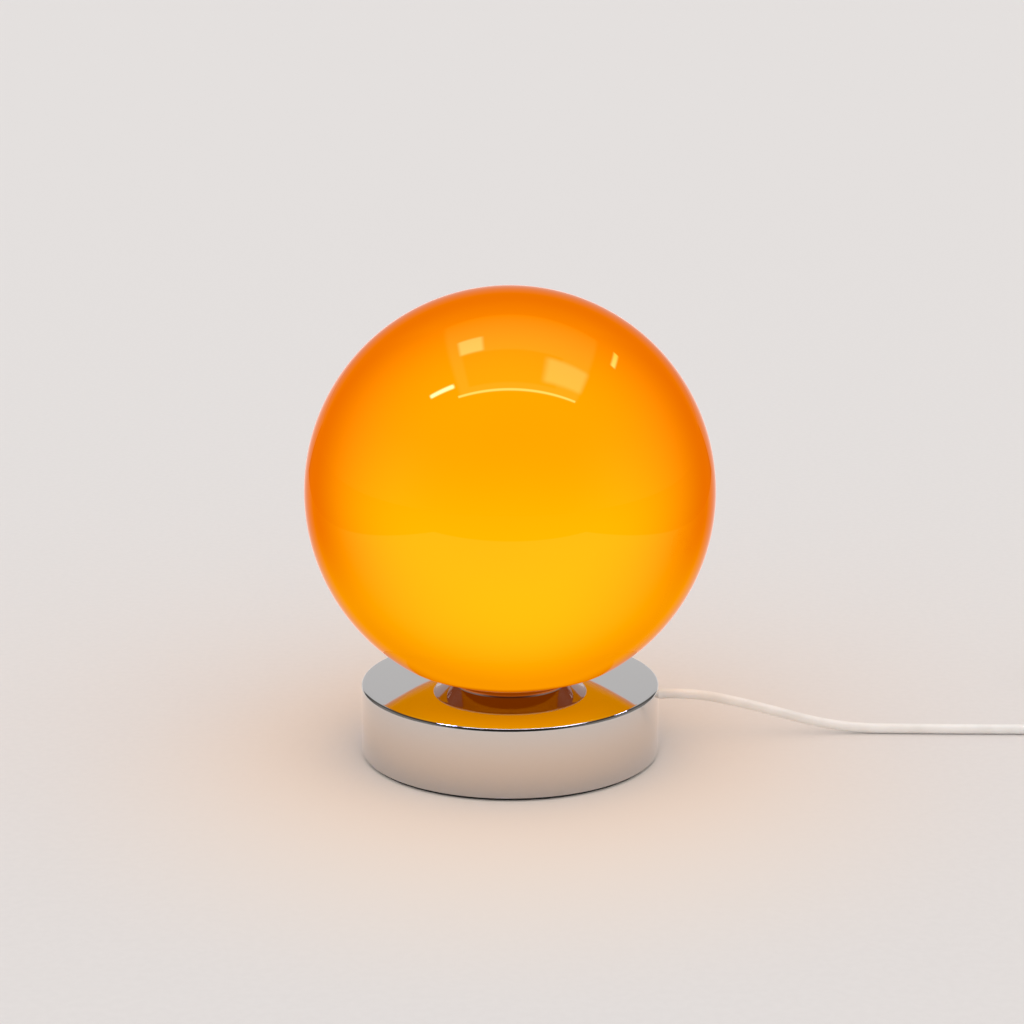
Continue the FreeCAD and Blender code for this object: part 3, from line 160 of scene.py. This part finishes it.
def coil_points():
    """Control points of the coil: in along the lower layer, a climb, and out along the upper one."""
    outer = COIL_MEAN_RADIUS + COIL_PITCH * COIL_TURNS / 4
    centre = Vector((COIL_X, LINK_ROUTE[0][1] + outer, 0.0))
    control = 1 / math.cos(math.pi / STEPS_PER_TURN)
    points = []
    for step in range(int(COIL_TURNS * STEPS_PER_TURN)):
        turn = (step + 0.5) / STEPS_PER_TURN
        inward = COIL_TURNS / 2 - abs(turn - COIL_TURNS / 2)
        radius = (outer - COIL_PITCH * inward) * control
        share = min(max((turn - COIL_TURNS / 2) * 2 + 0.5, 0.0), 1.0)
        height = COIL_LOW + COIL_PITCH * share * share * (3 - 2 * share)
        angle = 2 * math.pi * turn - math.pi / 2
        points.append(centre + Vector((radius * math.cos(angle), radius * math.sin(angle), height)))
    return points


def make_cords():
    lead = cord_curve("lead_cord", LEAD_ROUTE)
    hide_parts("cord_lead")
    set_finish(lead, "white_flex")
    mains = cord_curve("mains_cord", LINK_ROUTE + coil_points() + TAIL_ROUTE)
    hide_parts("cord_link", "cord_coil", "cord_tail")
    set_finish(mains, "white_flex")
    return lead, mains


# ---------------------------------------------------------------- mesh helpers

def new_piece(name, mesh, body, slot, *nodes, sharp=30.0):
    """Object for a finished mesh, smooth but for its sharp edges, that rides on a body."""
    mesh.shade_smooth()
    mesh.set_sharp_from_angle(angle=math.radians(sharp))
    piece = bpy.data.objects.new(name, mesh)
    bpy.context.scene.collection.objects.link(piece)
    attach(piece, body)
    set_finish(piece, slot)
    if nodes:
        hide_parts(*nodes)
    return piece


def arc(centre, radius, start, end, steps):
    """Points (r, z) along an arc, both ends included, angles in degrees from +r towards +z."""
    points = []
    for step in range(steps + 1):
        angle = math.radians(start + (end - start) * step / steps)
        points.append((centre[0] + radius * math.cos(angle), centre[1] + radius * math.sin(angle)))
    return points


def bowed(start, end, radius, steps):
    """Points after start along a shallow arc to end, its centre on the right of the way."""
    first = Vector(start)
    last = Vector(end)
    way = last - first
    right = Vector((way.y, -way.x)).normalized()
    centre = (first + last) / 2 + right * math.sqrt(radius ** 2 - (way.length / 2) ** 2)
    angles = [math.degrees(math.atan2(*(spot - centre).yx)) for spot in (first, last)]
    return arc(tuple(centre), radius, *angles, steps)[1:]


def eased(corners, steps=6):
    """Closed outline whose corners (r, z, radius) are rounded; a corner (r, z) stays as it is."""
    points = []
    count = len(corners)
    for index, corner in enumerate(corners):
        here = Vector(corner[:2])
        if len(corner) == 2:
            points.append(tuple(here))
            continue
        back = (Vector(corners[index - 1][:2]) - here).normalized()
        ahead = (Vector(corners[(index + 1) % count][:2]) - here).normalized()
        half = back.angle(ahead) / 2
        reach = corner[2] / math.tan(half)
        centre = here + (back + ahead).normalized() * (corner[2] / math.sin(half))
        first = here + back * reach - centre
        last = here + ahead * reach - centre
        turn = last.angle_signed(first)
        for step in range(steps + 1):
            spoke = first @ Matrix.Rotation(-turn * step / steps, 2)
            points.append(tuple(centre + spoke))
    return points


def lathed(name, outline, segments=AXIS_SEGMENTS, closed=True):
    """Mesh turned about Z from an outline of (r, z) points; points on the axis become poles."""
    work = bmesh.new()
    rings = []
    for radius, height in outline:
        if radius < 1e-7:
            rings.append([work.verts.new((0.0, 0.0, height))])
            continue
        ring = []
        for index in range(segments):
            angle = 2 * math.pi * index / segments
            ring.append(work.verts.new((radius * math.cos(angle), radius * math.sin(angle), height)))
        rings.append(ring)
    pairs = list(zip(rings, rings[1:]))
    if closed:
        pairs.append((rings[-1], rings[0]))
    for first, second in pairs:
        for index in range(segments):
            following = (index + 1) % segments
            corners = [first[index % len(first)], first[following % len(first)],
                       second[following % len(second)], second[index % len(second)]]
            loop = list(dict.fromkeys(corners))
            if len(loop) > 2:
                work.faces.new(loop)
    bmesh.ops.recalc_face_normals(work, faces=work.faces)
    mesh = bpy.data.meshes.new(name)
    work.to_mesh(mesh)
    work.free()
    return mesh


def laid(mesh, matrix):
    mesh.transform(matrix)
    return mesh


# ---------------------------------------------------------------- lamp body

def make_globe():
    """Ball of glass whose foot turns in, flatter than the ball, to a polished opening."""
    low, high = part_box("glass_globe")
    radius = high.x
    centre = high.z - radius
    inner = radius - GLASS_WALL
    foot = ((radius - FOOT_RADIUS) * math.cos(math.radians(FOOT_ANGLE)), low.z + FOOT_RADIUS)
    outline = arc((0.0, centre), radius, 90.0, -FOOT_ANGLE, 140)
    outline += arc(foot, FOOT_RADIUS, -FOOT_ANGLE, -89.2, 24)[1:]
    back = arc(foot, FOOT_RADIUS - GLASS_WALL, -89.2, -FOOT_ANGLE, 20)
    outline += eased([outline[-1], (foot[0], low.z, GLASS_POLISH),
                      (foot[0], low.z + GLASS_WALL, GLASS_POLISH), back[0]])[1:-1]
    outline += back
    outline += arc((0.0, centre), inner, -FOOT_ANGLE, 90.0, 120)[1:]
    mesh = lathed("globe_glass", outline, segments=288, closed=False)
    return new_piece("globe_glass", mesh, "globe", "orange_glass", "glass_globe", sharp=60.0)


def make_gasket():
    low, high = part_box("globe_gasket")
    outer = high.x
    inner = outer - GASKET_WIDTH
    edge = 0.0002
    outline = eased([(inner, low.z, edge), (outer, low.z, edge), (outer, high.z, edge),
                     (inner, high.z, edge)])
    mesh = lathed("gasket_ring", outline)
    return new_piece("gasket_ring", mesh, "base", "clear_silicone", "globe_gasket")


def make_cup():
    """Flared collar that goes down into the base as a well."""
    low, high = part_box("gallery_cup")
    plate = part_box("base_shell")[1].z
    lip = high.x
    well = WELL_RADIUS
    inner = well - CUP_WALL
    floor = low.z + CUP_FLOOR
    edge = CUP_LIP_EDGE
    waist = (well + 0.0015, plate + 0.0003)
    outline = [(CUP_BORE, low.z)]
    outline += eased([outline[0], (well, low.z, WELL_CORNER), (well, plate)])[1:-1]
    outline += [(well, plate), (waist[0], plate), waist]
    outline += bowed(waist, (lip - edge, high.z - 2 * edge), CUP_FLARE_RADIUS, 12)
    outline += arc((lip - edge, high.z - edge), edge, -70.0, 90.0, 8)
    outline += [(lip - CUP_SEAT_WIDTH, high.z), (inner, waist[1]), (inner, floor + 0.002)]
    outline += eased([outline[-1], (inner, floor, 0.0019), (CUP_BORE, floor)])[1:-1]
    outline.append((CUP_BORE, floor))
    mesh = lathed("collar", outline)
    return new_piece("collar", mesh, "base", "chrome_cup", "gallery_cup", sharp=35.0)


def make_shell():
    """Drum of drawn steel with a rolled edge, and a hole for the cord's bush."""
    low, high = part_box("base_shell")
    radius = high.x
    wall = 0.0012
    top = 0.0015
    edge = 0.0019
    hole = 0.0273
    outline = eased([(hole, high.z - top), (radius - wall, high.z - top, edge - wall),
                     (radius - wall, low.z, 0.0003), (radius, low.z, 0.0003),
                     (radius, high.z, edge), (hole, high.z, 0.0003)], steps=8)
    mesh = lathed("drum", outline, segments=256)
    drum = new_piece("drum", mesh, "base", "chrome_shell", "base_shell")
    cutter = bush_hole_cutter(radius)
    hole_cut = drum.modifiers.new("cord_hole", "BOOLEAN")
    hole_cut.operation = "DIFFERENCE"
    hole_cut.solver = "EXACT"
    hole_cut.object = cutter
    with bpy.context.temp_override(object=drum, active_object=drum):
        bpy.ops.object.modifier_apply(modifier=hole_cut.name)
    bpy.data.objects.remove(cutter)
    drum.data.shade_smooth()
    drum.data.set_sharp_from_angle(angle=math.radians(30.0))
    return drum


def cord_matrix():
    """Turns +Z to the direction in which the cord leaves, at the height of its axis."""
    gland = LEAD_ROUTE[0]
    azimuth = math.atan2(gland[1], gland[0])
    lift = Matrix.Translation((0.0, 0.0, gland[2]))
    return lift @ Matrix.Rotation(azimuth, 4, "Z") @ Matrix.Rotation(math.pi / 2, 4, "Y")


def bush_hole_cutter(radius):
    outline = [(0.0, radius - 0.004), (0.0041, radius - 0.004), (0.0041, radius + 0.004),
               (0.0, radius + 0.004)]
    mesh = laid(lathed("cutter", outline, segments=48, closed=False), cord_matrix())
    cutter = bpy.data.objects.new("cutter", mesh)
    bpy.context.scene.collection.objects.link(cutter)
    return cutter


def make_bush():
    """Cord bush: round head outside, neck through the wall, head and tail inside."""
    face = Vector(LEAD_ROUTE[0][:2]).length
    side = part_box("base_shell")[1].x
    bore = CORD / 2 + 0.00005
    inside = side - 0.0015
    outline = eased([
        (bore, face, 0.0002), (0.0055, face, 0.0009), (0.0055, side, 0.0002), (0.0039, side),
        (0.0039, inside), (0.0055, inside, 0.0003), (0.0055, inside - 0.002, 0.0003),
        (0.0044, inside - 0.002), (bore + 0.0008, inside - 0.014, 0.0002), (bore, inside - 0.014)])
    mesh = laid(lathed("cord_bush", outline, segments=64), cord_matrix())
    return new_piece("cord_bush", mesh, "base", "white_nylon", "cord_gland")


def make_foot_ring():
    low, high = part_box("base_foot_ring")
    outer = high.x
    inner = outer - FOOT_RING_WIDTH
    outline = eased([(inner, low.z, 0.0006), (outer, low.z, 0.0006), (outer, high.z, 0.0002),
                     (inner, high.z, 0.0002)])
    mesh = lathed("foot_ring", outline)
    return new_piece("foot_ring", mesh, "base", "black_rubber", "base_foot_ring")


def make_bulb_ball():
    """Frosted ball of the bulb."""
    low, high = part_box("bulb_diffuser")
    radius = high.x
    centre = high.z - radius
    skin = 0.0012
    outer_end = math.degrees(math.asin((low.z - centre) / radius))
    inner_end = math.degrees(math.asin((low.z - centre) / (radius - skin)))
    outline = arc((0.0, centre), radius, 90.0, outer_end, 48)
    outline += arc((0.0, centre), radius - skin, inner_end, 90.0, 40)
    mesh = lathed("bulb_ball", outline, segments=96, closed=False)
    return new_piece("bulb_ball", mesh, "bulb", "opal_plastic", "bulb_diffuser", sharp=60.0)


def make_relief():
    """Ribbed sleeve between the plug and the cord."""
    low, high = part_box("plug_relief")
    root = (high.y - low.y) / 2
    end = 0.0033
    length = high.x - low.x
    ribs = 5
    step = length / (ribs + 0.5)
    taper = (root - end) / ribs
    corners = [(0.0, 0.0), (root, 0.0, 0.0003)]
    for rib in range(ribs):
        radius = root - taper * rib
        groove = radius - 0.0007
        rib_end = step * (rib + 0.6)
        groove_end = step * (rib + 1)
        corners += [(radius, rib_end, 0.0004), (groove, rib_end, 0.0002),
                    (groove, groove_end, 0.0002), (radius - taper, groove_end, 0.0004)]
    corners += [(end, length, 0.0005), (0.0, length)]
    turn = Matrix.Rotation(math.pi / 2, 4, "Y")
    place = Matrix.Translation((low.x, (low.y + high.y) / 2, (low.z + high.z) / 2))
    mesh = laid(lathed("sleeve", eased(corners, steps=4), segments=72, closed=False), place @ turn)
    return new_piece("sleeve", mesh, "base", "white_plug", "plug_relief")


# ---------------------------------------------------------------- materials

class Graph:
    """Short way to build a node tree."""

    def __init__(self, tree):
        self.tree = tree
        tree.nodes.clear()

    def add(self, kind, inputs=None, **settings):
        node = self.tree.nodes.new("ShaderNode" + kind)
        for name, value in settings.items():
            setattr(node, name, value)
        for name, value in (inputs or {}).items():
            self.feed(node.inputs[name], value)
        return node

    def feed(self, socket, value):
        if isinstance(value, bpy.types.NodeSocket):
            self.tree.links.new(value, socket)
        elif socket.type == "RGBA" and len(value) == 3:
            socket.default_value = (*value, 1.0)
        else:
            socket.default_value = value

    def math(self, operation, *values):
        node = self.add("Math", operation=operation)
        for socket, value in zip(node.inputs, values):
            self.feed(socket, value)
        return node.outputs[0]

    def band(self, value, low, high, first=0.0, last=1.0):
        """Smooth step of a value from first at low to last at high."""
        inputs = {"Value": value, "From Min": low, "From Max": high, "To Min": first, "To Max": last}
        return self.add("MapRange", inputs, interpolation_type="SMOOTHSTEP").outputs[0]

    def colour(self, factor, first, second):
        node = self.add("Mix", data_type="RGBA")
        self.feed(node.inputs[0], factor)
        self.feed(node.inputs[6], first)
        self.feed(node.inputs[7], second)
        return node.outputs[2]

    def noise(self, scale, detail=4.0, stretch=None):
        """Fractal noise over the piece's own coordinates, 0 to 1."""
        place = self.add("TexCoord").outputs["Object"]
        if stretch:
            place = self.add("Mapping", {"Vector": place, "Scale": stretch}).outputs[0]
        inputs = {"Vector": place, "Scale": scale, "Detail": detail}
        return self.add("TexNoise", inputs).outputs[0]

    def bump(self, height, distance, strength=1.0, edge=None):
        """Normal from a height, over edges softened by a radius if one is given."""
        inputs = {"Height": height, "Distance": distance, "Strength": strength}
        if edge:
            inputs["Normal"] = self.add("Bevel", {"Radius": edge}, samples=6).outputs[0]
        return self.add("Bump", inputs).outputs[0]


def new_material(name):
    material = bpy.data.materials.new(name)
    material.use_nodes = True
    return material, Graph(material.node_tree)


def finish_surface(graph, surface):
    graph.add("OutputMaterial", {"Surface": surface})


def polished_metal(name, colour, roughness, waviness, painted_glow=None):
    """Plated metal, a little cloudy and wavy; a painted glow, if given, is emitted above the base's
    plate and stands in for reflected light.
    """
    material, graph = new_material(name)
    cloud = graph.noise(38.0, 5.0)
    shine = graph.band(cloud, 0.35, 0.75, roughness, roughness * 1.9)
    waves = graph.bump(graph.noise(16.0, 1.0), waviness, 0.3)
    surface = graph.add("BsdfPrincipled", {
        "Base Color": colour, "Metallic": 1.0, "Roughness": shine, "Normal": waves})
    if painted_glow:
        # painted reflection: orange emission above the plate stands in for the globe's light bounced
        # onto the metal
        place = graph.add("TexCoord").outputs["Object"]
        height = graph.add("SeparateXYZ", {"Vector": place}).outputs["Z"]
        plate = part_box("base_shell")[1].z
        graph.feed(surface.inputs["Emission Color"], painted_glow)
        graph.feed(surface.inputs["Emission Strength"], graph.band(height, plate, plate + 0.0004))
    finish_surface(graph, surface.outputs[0])
    return material


def worked_metal(name, colour, roughness, stretch=(1.0, 1.0, 1.0), edge=0.0002):
    """Machined, pressed or cast metal with a fine grain."""
    material, graph = new_material(name)
    grain = graph.noise(420.0, 6.0, stretch)
    blotch = graph.noise(60.0, 3.0)
    dark = tuple(value * 0.78 for value in colour)
    surface = graph.add("BsdfPrincipled", {
        "Base Color": graph.colour(graph.band(blotch, 0.3, 0.7), dark, colour),
        "Metallic": 1.0,
        "Roughness": graph.band(grain, 0.3, 0.7, roughness * 0.8, roughness * 1.25),
        "Normal": graph.bump(grain, 0.00004, 0.35, edge)})
    finish_surface(graph, surface.outputs[0])
    return material


def moulded(name, colour, roughness, grain=0.00002, scatter=0.0, edge=0.0003):
    """Moulded plastic or rubber with a faint texture and soft edges."""
    material, graph = new_material(name)
    texture = graph.noise(900.0, 3.0)
    tone = graph.noise(30.0, 3.0)
    shaded = tuple(value * 0.93 for value in colour)
    surface = graph.add("BsdfPrincipled", {
        "Base Color": graph.colour(graph.band(tone, 0.35, 0.65), shaded, colour),
        "Roughness": graph.band(texture, 0.3, 0.7, roughness * 0.88, roughness * 1.12),
        "Subsurface Weight": scatter,
        "Subsurface Radius": (0.003, 0.0022, 0.0018),
        "Subsurface Scale": 1.0,
        "Normal": graph.bump(texture, grain, 0.4, edge)})
    finish_surface(graph, surface.outputs[0])
    return material


def glowing_glass():
    """Opaque stand-in for lit cased glass: brightest low down, deeper towards its silhouette."""
    material, graph = new_material("orange_glass")
    place = graph.add("TexCoord").outputs["Object"]
    height = graph.add("SeparateXYZ", {"Vector": place}).outputs["Z"]
    facing = graph.add("LayerWeight", {"Blend": 0.5}).outputs["Facing"]
    low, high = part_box("glass_globe")
    span = high.z - low.z
    middle = graph.band(height, low.z + span * 0.72, low.z + span * 0.44)
    foot = graph.band(height, low.z + span * 0.10, low.z)
    upper = graph.colour(middle, (1.28, 0.395, 0.0), (1.28, 0.500, 0.0))
    lower = graph.band(height, low.z + span * 0.50, low.z + span * 0.10)
    body = graph.colour(lower, upper, (1.28, 0.560, 0.0))
    body = graph.colour(foot, body, (1.28, 0.430, 0.0))
    rim = graph.band(facing, 0.10, 0.70)
    edge = graph.band(facing, 0.72, 1.0)
    deep = graph.band(height, low.z + span * 0.46, low.z + span * 0.22)
    rim_tone = graph.colour(deep, (0.85, 0.165, 0.0), (0.95, 0.31, 0.0))
    tone = graph.colour(rim, body, rim_tone)
    tone = graph.colour(edge, tone, (0.45, 0.07, 0.0))
    cloud = graph.noise(9.0, 2.0)
    strength = graph.band(cloud, 0.2, 0.8, 0.975, 1.02)
    surface = graph.add("BsdfPrincipled", {
        "Base Color": (0.040, 0.030, 0.008), "Metallic": 1.0, "Roughness": 0.015,
        "Specular Tint": (0.42, 0.42, 0.38, 1.0),
        "Emission Color": tone, "Emission Strength": strength,
        "Normal": graph.bump(graph.noise(14.0, 1.0), 0.0004, 0.25)})
    finish_surface(graph, surface.outputs[0])
    return material


def lit_diffuser():
    material, graph = new_material("opal_plastic")
    cloud = graph.noise(120.0, 3.0)
    surface = graph.add("BsdfPrincipled", {
        "Base Color": (0.90, 0.88, 0.83), "Roughness": graph.band(cloud, 0.3, 0.7, 0.42, 0.55),
        "Emission Color": (1.0, 0.72, 0.40), "Emission Strength": 2.2})
    finish_surface(graph, surface.outputs[0])
    return material


def flex():
    """White flex: smooth, with a faint lengthwise unevenness."""
    material, graph = new_material("white_flex")
    tone = graph.noise(55.0, 4.0)
    fine = graph.noise(700.0, 2.0)
    surface = graph.add("BsdfPrincipled", {
        "Base Color": graph.colour(graph.band(tone, 0.3, 0.7), (0.83, 0.81, 0.78), (0.90, 0.885, 0.86)),
        "Roughness": graph.band(fine, 0.3, 0.7, 0.38, 0.48),
        "Subsurface Weight": 0.15,
        "Subsurface Radius": (0.002, 0.0016, 0.0013),
        "Subsurface Scale": 1.0,
        "Normal": graph.bump(fine, 0.00003, 0.3)})
    finish_surface(graph, surface.outputs[0])
    return material


def make_materials():
    chrome = polished_metal("chrome_shell", (0.57, 0.575, 0.58), 0.035, 0.00035)
    zinc = worked_metal("zinc_steel", (0.52, 0.53, 0.52), 0.34)
    return {
        "chrome_shell": chrome,
        # the cup gets a painted glow that stands in for the globe's light reflected between collar,
        # plate and glass
        "chrome_cup": polished_metal("chrome_cup", (0.63, 0.62, 0.61), 0.04, 0.0001,
                                     COLLAR_PAINTED_GLOW),
        "zinc_steel": zinc,
        "spring_steel": worked_metal("spring_steel", (0.46, 0.47, 0.49), 0.26),
        "iron": worked_metal("iron", (0.10, 0.10, 0.105), 0.62, edge=0.0006),
        "black_rubber": moulded("black_rubber", (0.014, 0.014, 0.015), 0.62),
        "clear_silicone": moulded("clear_silicone", (0.62, 0.60, 0.55), 0.38, scatter=0.3),
        "orange_glass": glowing_glass(),
        "brass": worked_metal("brass", (0.63, 0.44, 0.17), 0.28),
        "white_holder": moulded("white_holder", (0.72, 0.70, 0.64), 0.30),
        "ceramic": moulded("ceramic", (0.76, 0.75, 0.71), 0.22),
        "opal_plastic": lit_diffuser(),
        "bulb_plastic": moulded("bulb_plastic", (0.80, 0.80, 0.79), 0.30),
        "nickel": polished_metal("nickel", (0.60, 0.57, 0.52), 0.12, 0.0001),
        "black_glass": moulded("black_glass", (0.012, 0.010, 0.014), 0.10),
        "circuit_board": moulded("circuit_board", (0.74, 0.76, 0.74), 0.35),
        "white_nylon": moulded("white_nylon", (0.66, 0.66, 0.63), 0.45, scatter=0.1),
        "white_flex": flex(),
        "brown_wire": moulded("brown_wire", (0.085, 0.032, 0.014), 0.40),
        "blue_wire": moulded("blue_wire", (0.012, 0.045, 0.26), 0.40),
        "white_switch": moulded("white_switch", (0.78, 0.76, 0.72), 0.30, edge=0.0005),
        "white_rocker": moulded("white_rocker", (0.82, 0.80, 0.77), 0.20, edge=0.0005),
        "white_plug": moulded("white_plug", (0.77, 0.75, 0.71), 0.32, edge=0.0006),
        "clear_tie": moulded("clear_tie", (0.80, 0.80, 0.77), 0.35, scatter=0.2),
        "black_sleeve": moulded("black_sleeve", (0.02, 0.02, 0.022), 0.40),
    }


def dress():
    """Give every shown piece and CAD node the material of its slot."""
    materials = make_materials()
    slots = {entry["node"]: entry["material_slot"] for entry in frame["record"]["subparts"]}
    for thing in list(bpy.context.scene.objects):
        if thing.type not in ("MESH", "CURVE") or thing.get("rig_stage"):
            continue
        name = thing.get("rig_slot") or slots.get(thing.get("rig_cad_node"))
        if name:
            thing.data.materials.clear()
            thing.data.materials.append(materials[name])


# ---------------------------------------------------------------- stage and light

def make_stage():
    """Pale table top that runs on as the backdrop."""
    work = bmesh.new()
    bmesh.ops.create_grid(work, x_segments=8, y_segments=8, size=40.0)
    mesh = bpy.data.meshes.new("table_top")
    work.to_mesh(mesh)
    work.free()
    floor = bpy.data.objects.new("table_top", mesh)
    bpy.context.scene.collection.objects.link(floor)
    floor.location = (0.0, 0.0, -0.0002)
    material, graph = new_material("table_top")
    place = graph.add("TexCoord").outputs["Object"]
    split = graph.add("SeparateXYZ", {"Vector": place})
    x = split.outputs["X"]
    y = split.outputs["Y"]
    aside = graph.math("ABSOLUTE", x)
    # seen in the chrome and the glass, the table top ends at the sides and in front
    beyond = graph.band(graph.math("SUBTRACT", aside, graph.math("MAXIMUM", graph.math(
        "MULTIPLY", y, 0.62), 0.50)), 0.0, 0.03)
    before = graph.band(y, -0.62, -0.66)
    glossy = graph.add("LightPath").outputs["Is Glossy Ray"]
    mirrored = graph.math("MULTIPLY", graph.math("MAXIMUM", beyond, before), glossy)
    fine = graph.noise(260.0, 5.0)
    pale = graph.colour(graph.band(fine, 0.3, 0.7), (0.757, 0.734, 0.724), (0.770, 0.747, 0.737))
    # painted light: the table top turns warm close to the lamp, a painted pool of the globe's orange
    # glow
    from_lamp = graph.add("VectorMath", {0: place, 1: (0.0, -0.07, 0.0)}, operation="DISTANCE")
    painted_glow_mask = graph.band(from_lamp.outputs["Value"], 0.24, 0.05)
    painted_glow_tone = graph.colour(painted_glow_mask, pale, (0.83, 0.755, 0.69))
    # mirrors show it a fifth brighter
    lift = graph.band(glossy, 0.0, 1.0, 1.0, 1.2)
    painted_glow_tone = graph.add("VectorMath", {0: painted_glow_tone, "Scale": lift}, operation="SCALE").outputs[0]
    colour = graph.colour(mirrored, painted_glow_tone, (0.10, 0.085, 0.075))
    surface = graph.add("BsdfDiffuse", {"Color": colour, "Roughness": 0.6})
    finish_surface(graph, surface.outputs[0])
    floor.data.materials.append(material)
    floor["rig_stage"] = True
    return floor


def make_world():
    """Even soft light, and for mirrors a room: pale backdrop behind, dark in front, panes overhead."""
    world = bpy.data.worlds.new("room")
    world.use_nodes = True
    bpy.context.scene.world = world
    graph = Graph(world.node_tree)
    way = graph.add("TexCoord").outputs["Generated"]
    split = graph.add("SeparateXYZ", {"Vector": way})
    x = split.outputs["X"]
    y = split.outputs["Y"]
    z = split.outputs["Z"]
    level = graph.math("SQRT", graph.math("ADD", graph.math("MULTIPLY", x, x),
                                          graph.math("MULTIPLY", y, y)))
    heading = graph.math("DIVIDE", y, graph.math("MAXIMUM", level, 0.001))
    behind = graph.band(heading, 0.78, 0.86)
    behind = graph.math("MULTIPLY", behind, graph.band(z, 0.80, 0.62))
    side = graph.band(graph.math("ABSOLUTE", heading), 0.95, 0.35)
    low = graph.colour(side, (0.02, 0.018, 0.016), (0.34, 0.31, 0.285))
    room = graph.colour(graph.band(z, 0.20, 0.75), low, (0.05, 0.045, 0.04))
    room = graph.colour(behind, room, WHITE_STAGE)
    across = graph.math("DIVIDE", x, graph.math("MAXIMUM", z, 0.05))
    away = graph.math("DIVIDE", y, graph.math("MAXIMUM", z, 0.05))
    for centre, half, blur, colour in OVERHEAD_PANES:
        shape = patch(graph, across, away, centre, half, blur)
        shape = graph.math("MULTIPLY", shape, graph.band(z, 0.3, 0.4))
        room = graph.colour(shape, room, colour)
    even = graph.colour(graph.band(z, -0.1, 0.9), (0.80, 0.79, 0.785), (1.10, 1.09, 1.085))
    rays = graph.add("LightPath").outputs
    colour = graph.colour(rays["Is Glossy Ray"], even, room)
    colour = graph.colour(rays["Is Camera Ray"], colour, WHITE_STAGE)
    background = graph.add("Background", {"Color": colour, "Strength": 1.0})
    graph.add("OutputWorld", {"Surface": background.outputs[0]})


def patch(graph, u, v, centre, half, blur):
    """1 inside a soft-edged rectangle of the (u, v) plane, 0 outside."""
    inside = 1.0
    for value, middle, reach in ((u, centre[0], half[0]), (v, centre[1], half[1])):
        offset = graph.math("ABSOLUTE", graph.math("SUBTRACT", value, middle))
        inside = graph.math("MULTIPLY", inside, graph.band(offset, reach + blur, reach - blur))
    return inside


# ---------------------------------------------------------------- put together

make_camera()
lead_cord, mains_cord = make_cords()
make_globe()
make_gasket()
make_cup()
make_shell()
make_bush()
make_foot_ring()
make_bulb_ball()
sleeve = make_relief()
make_stage()
make_world()
dress()
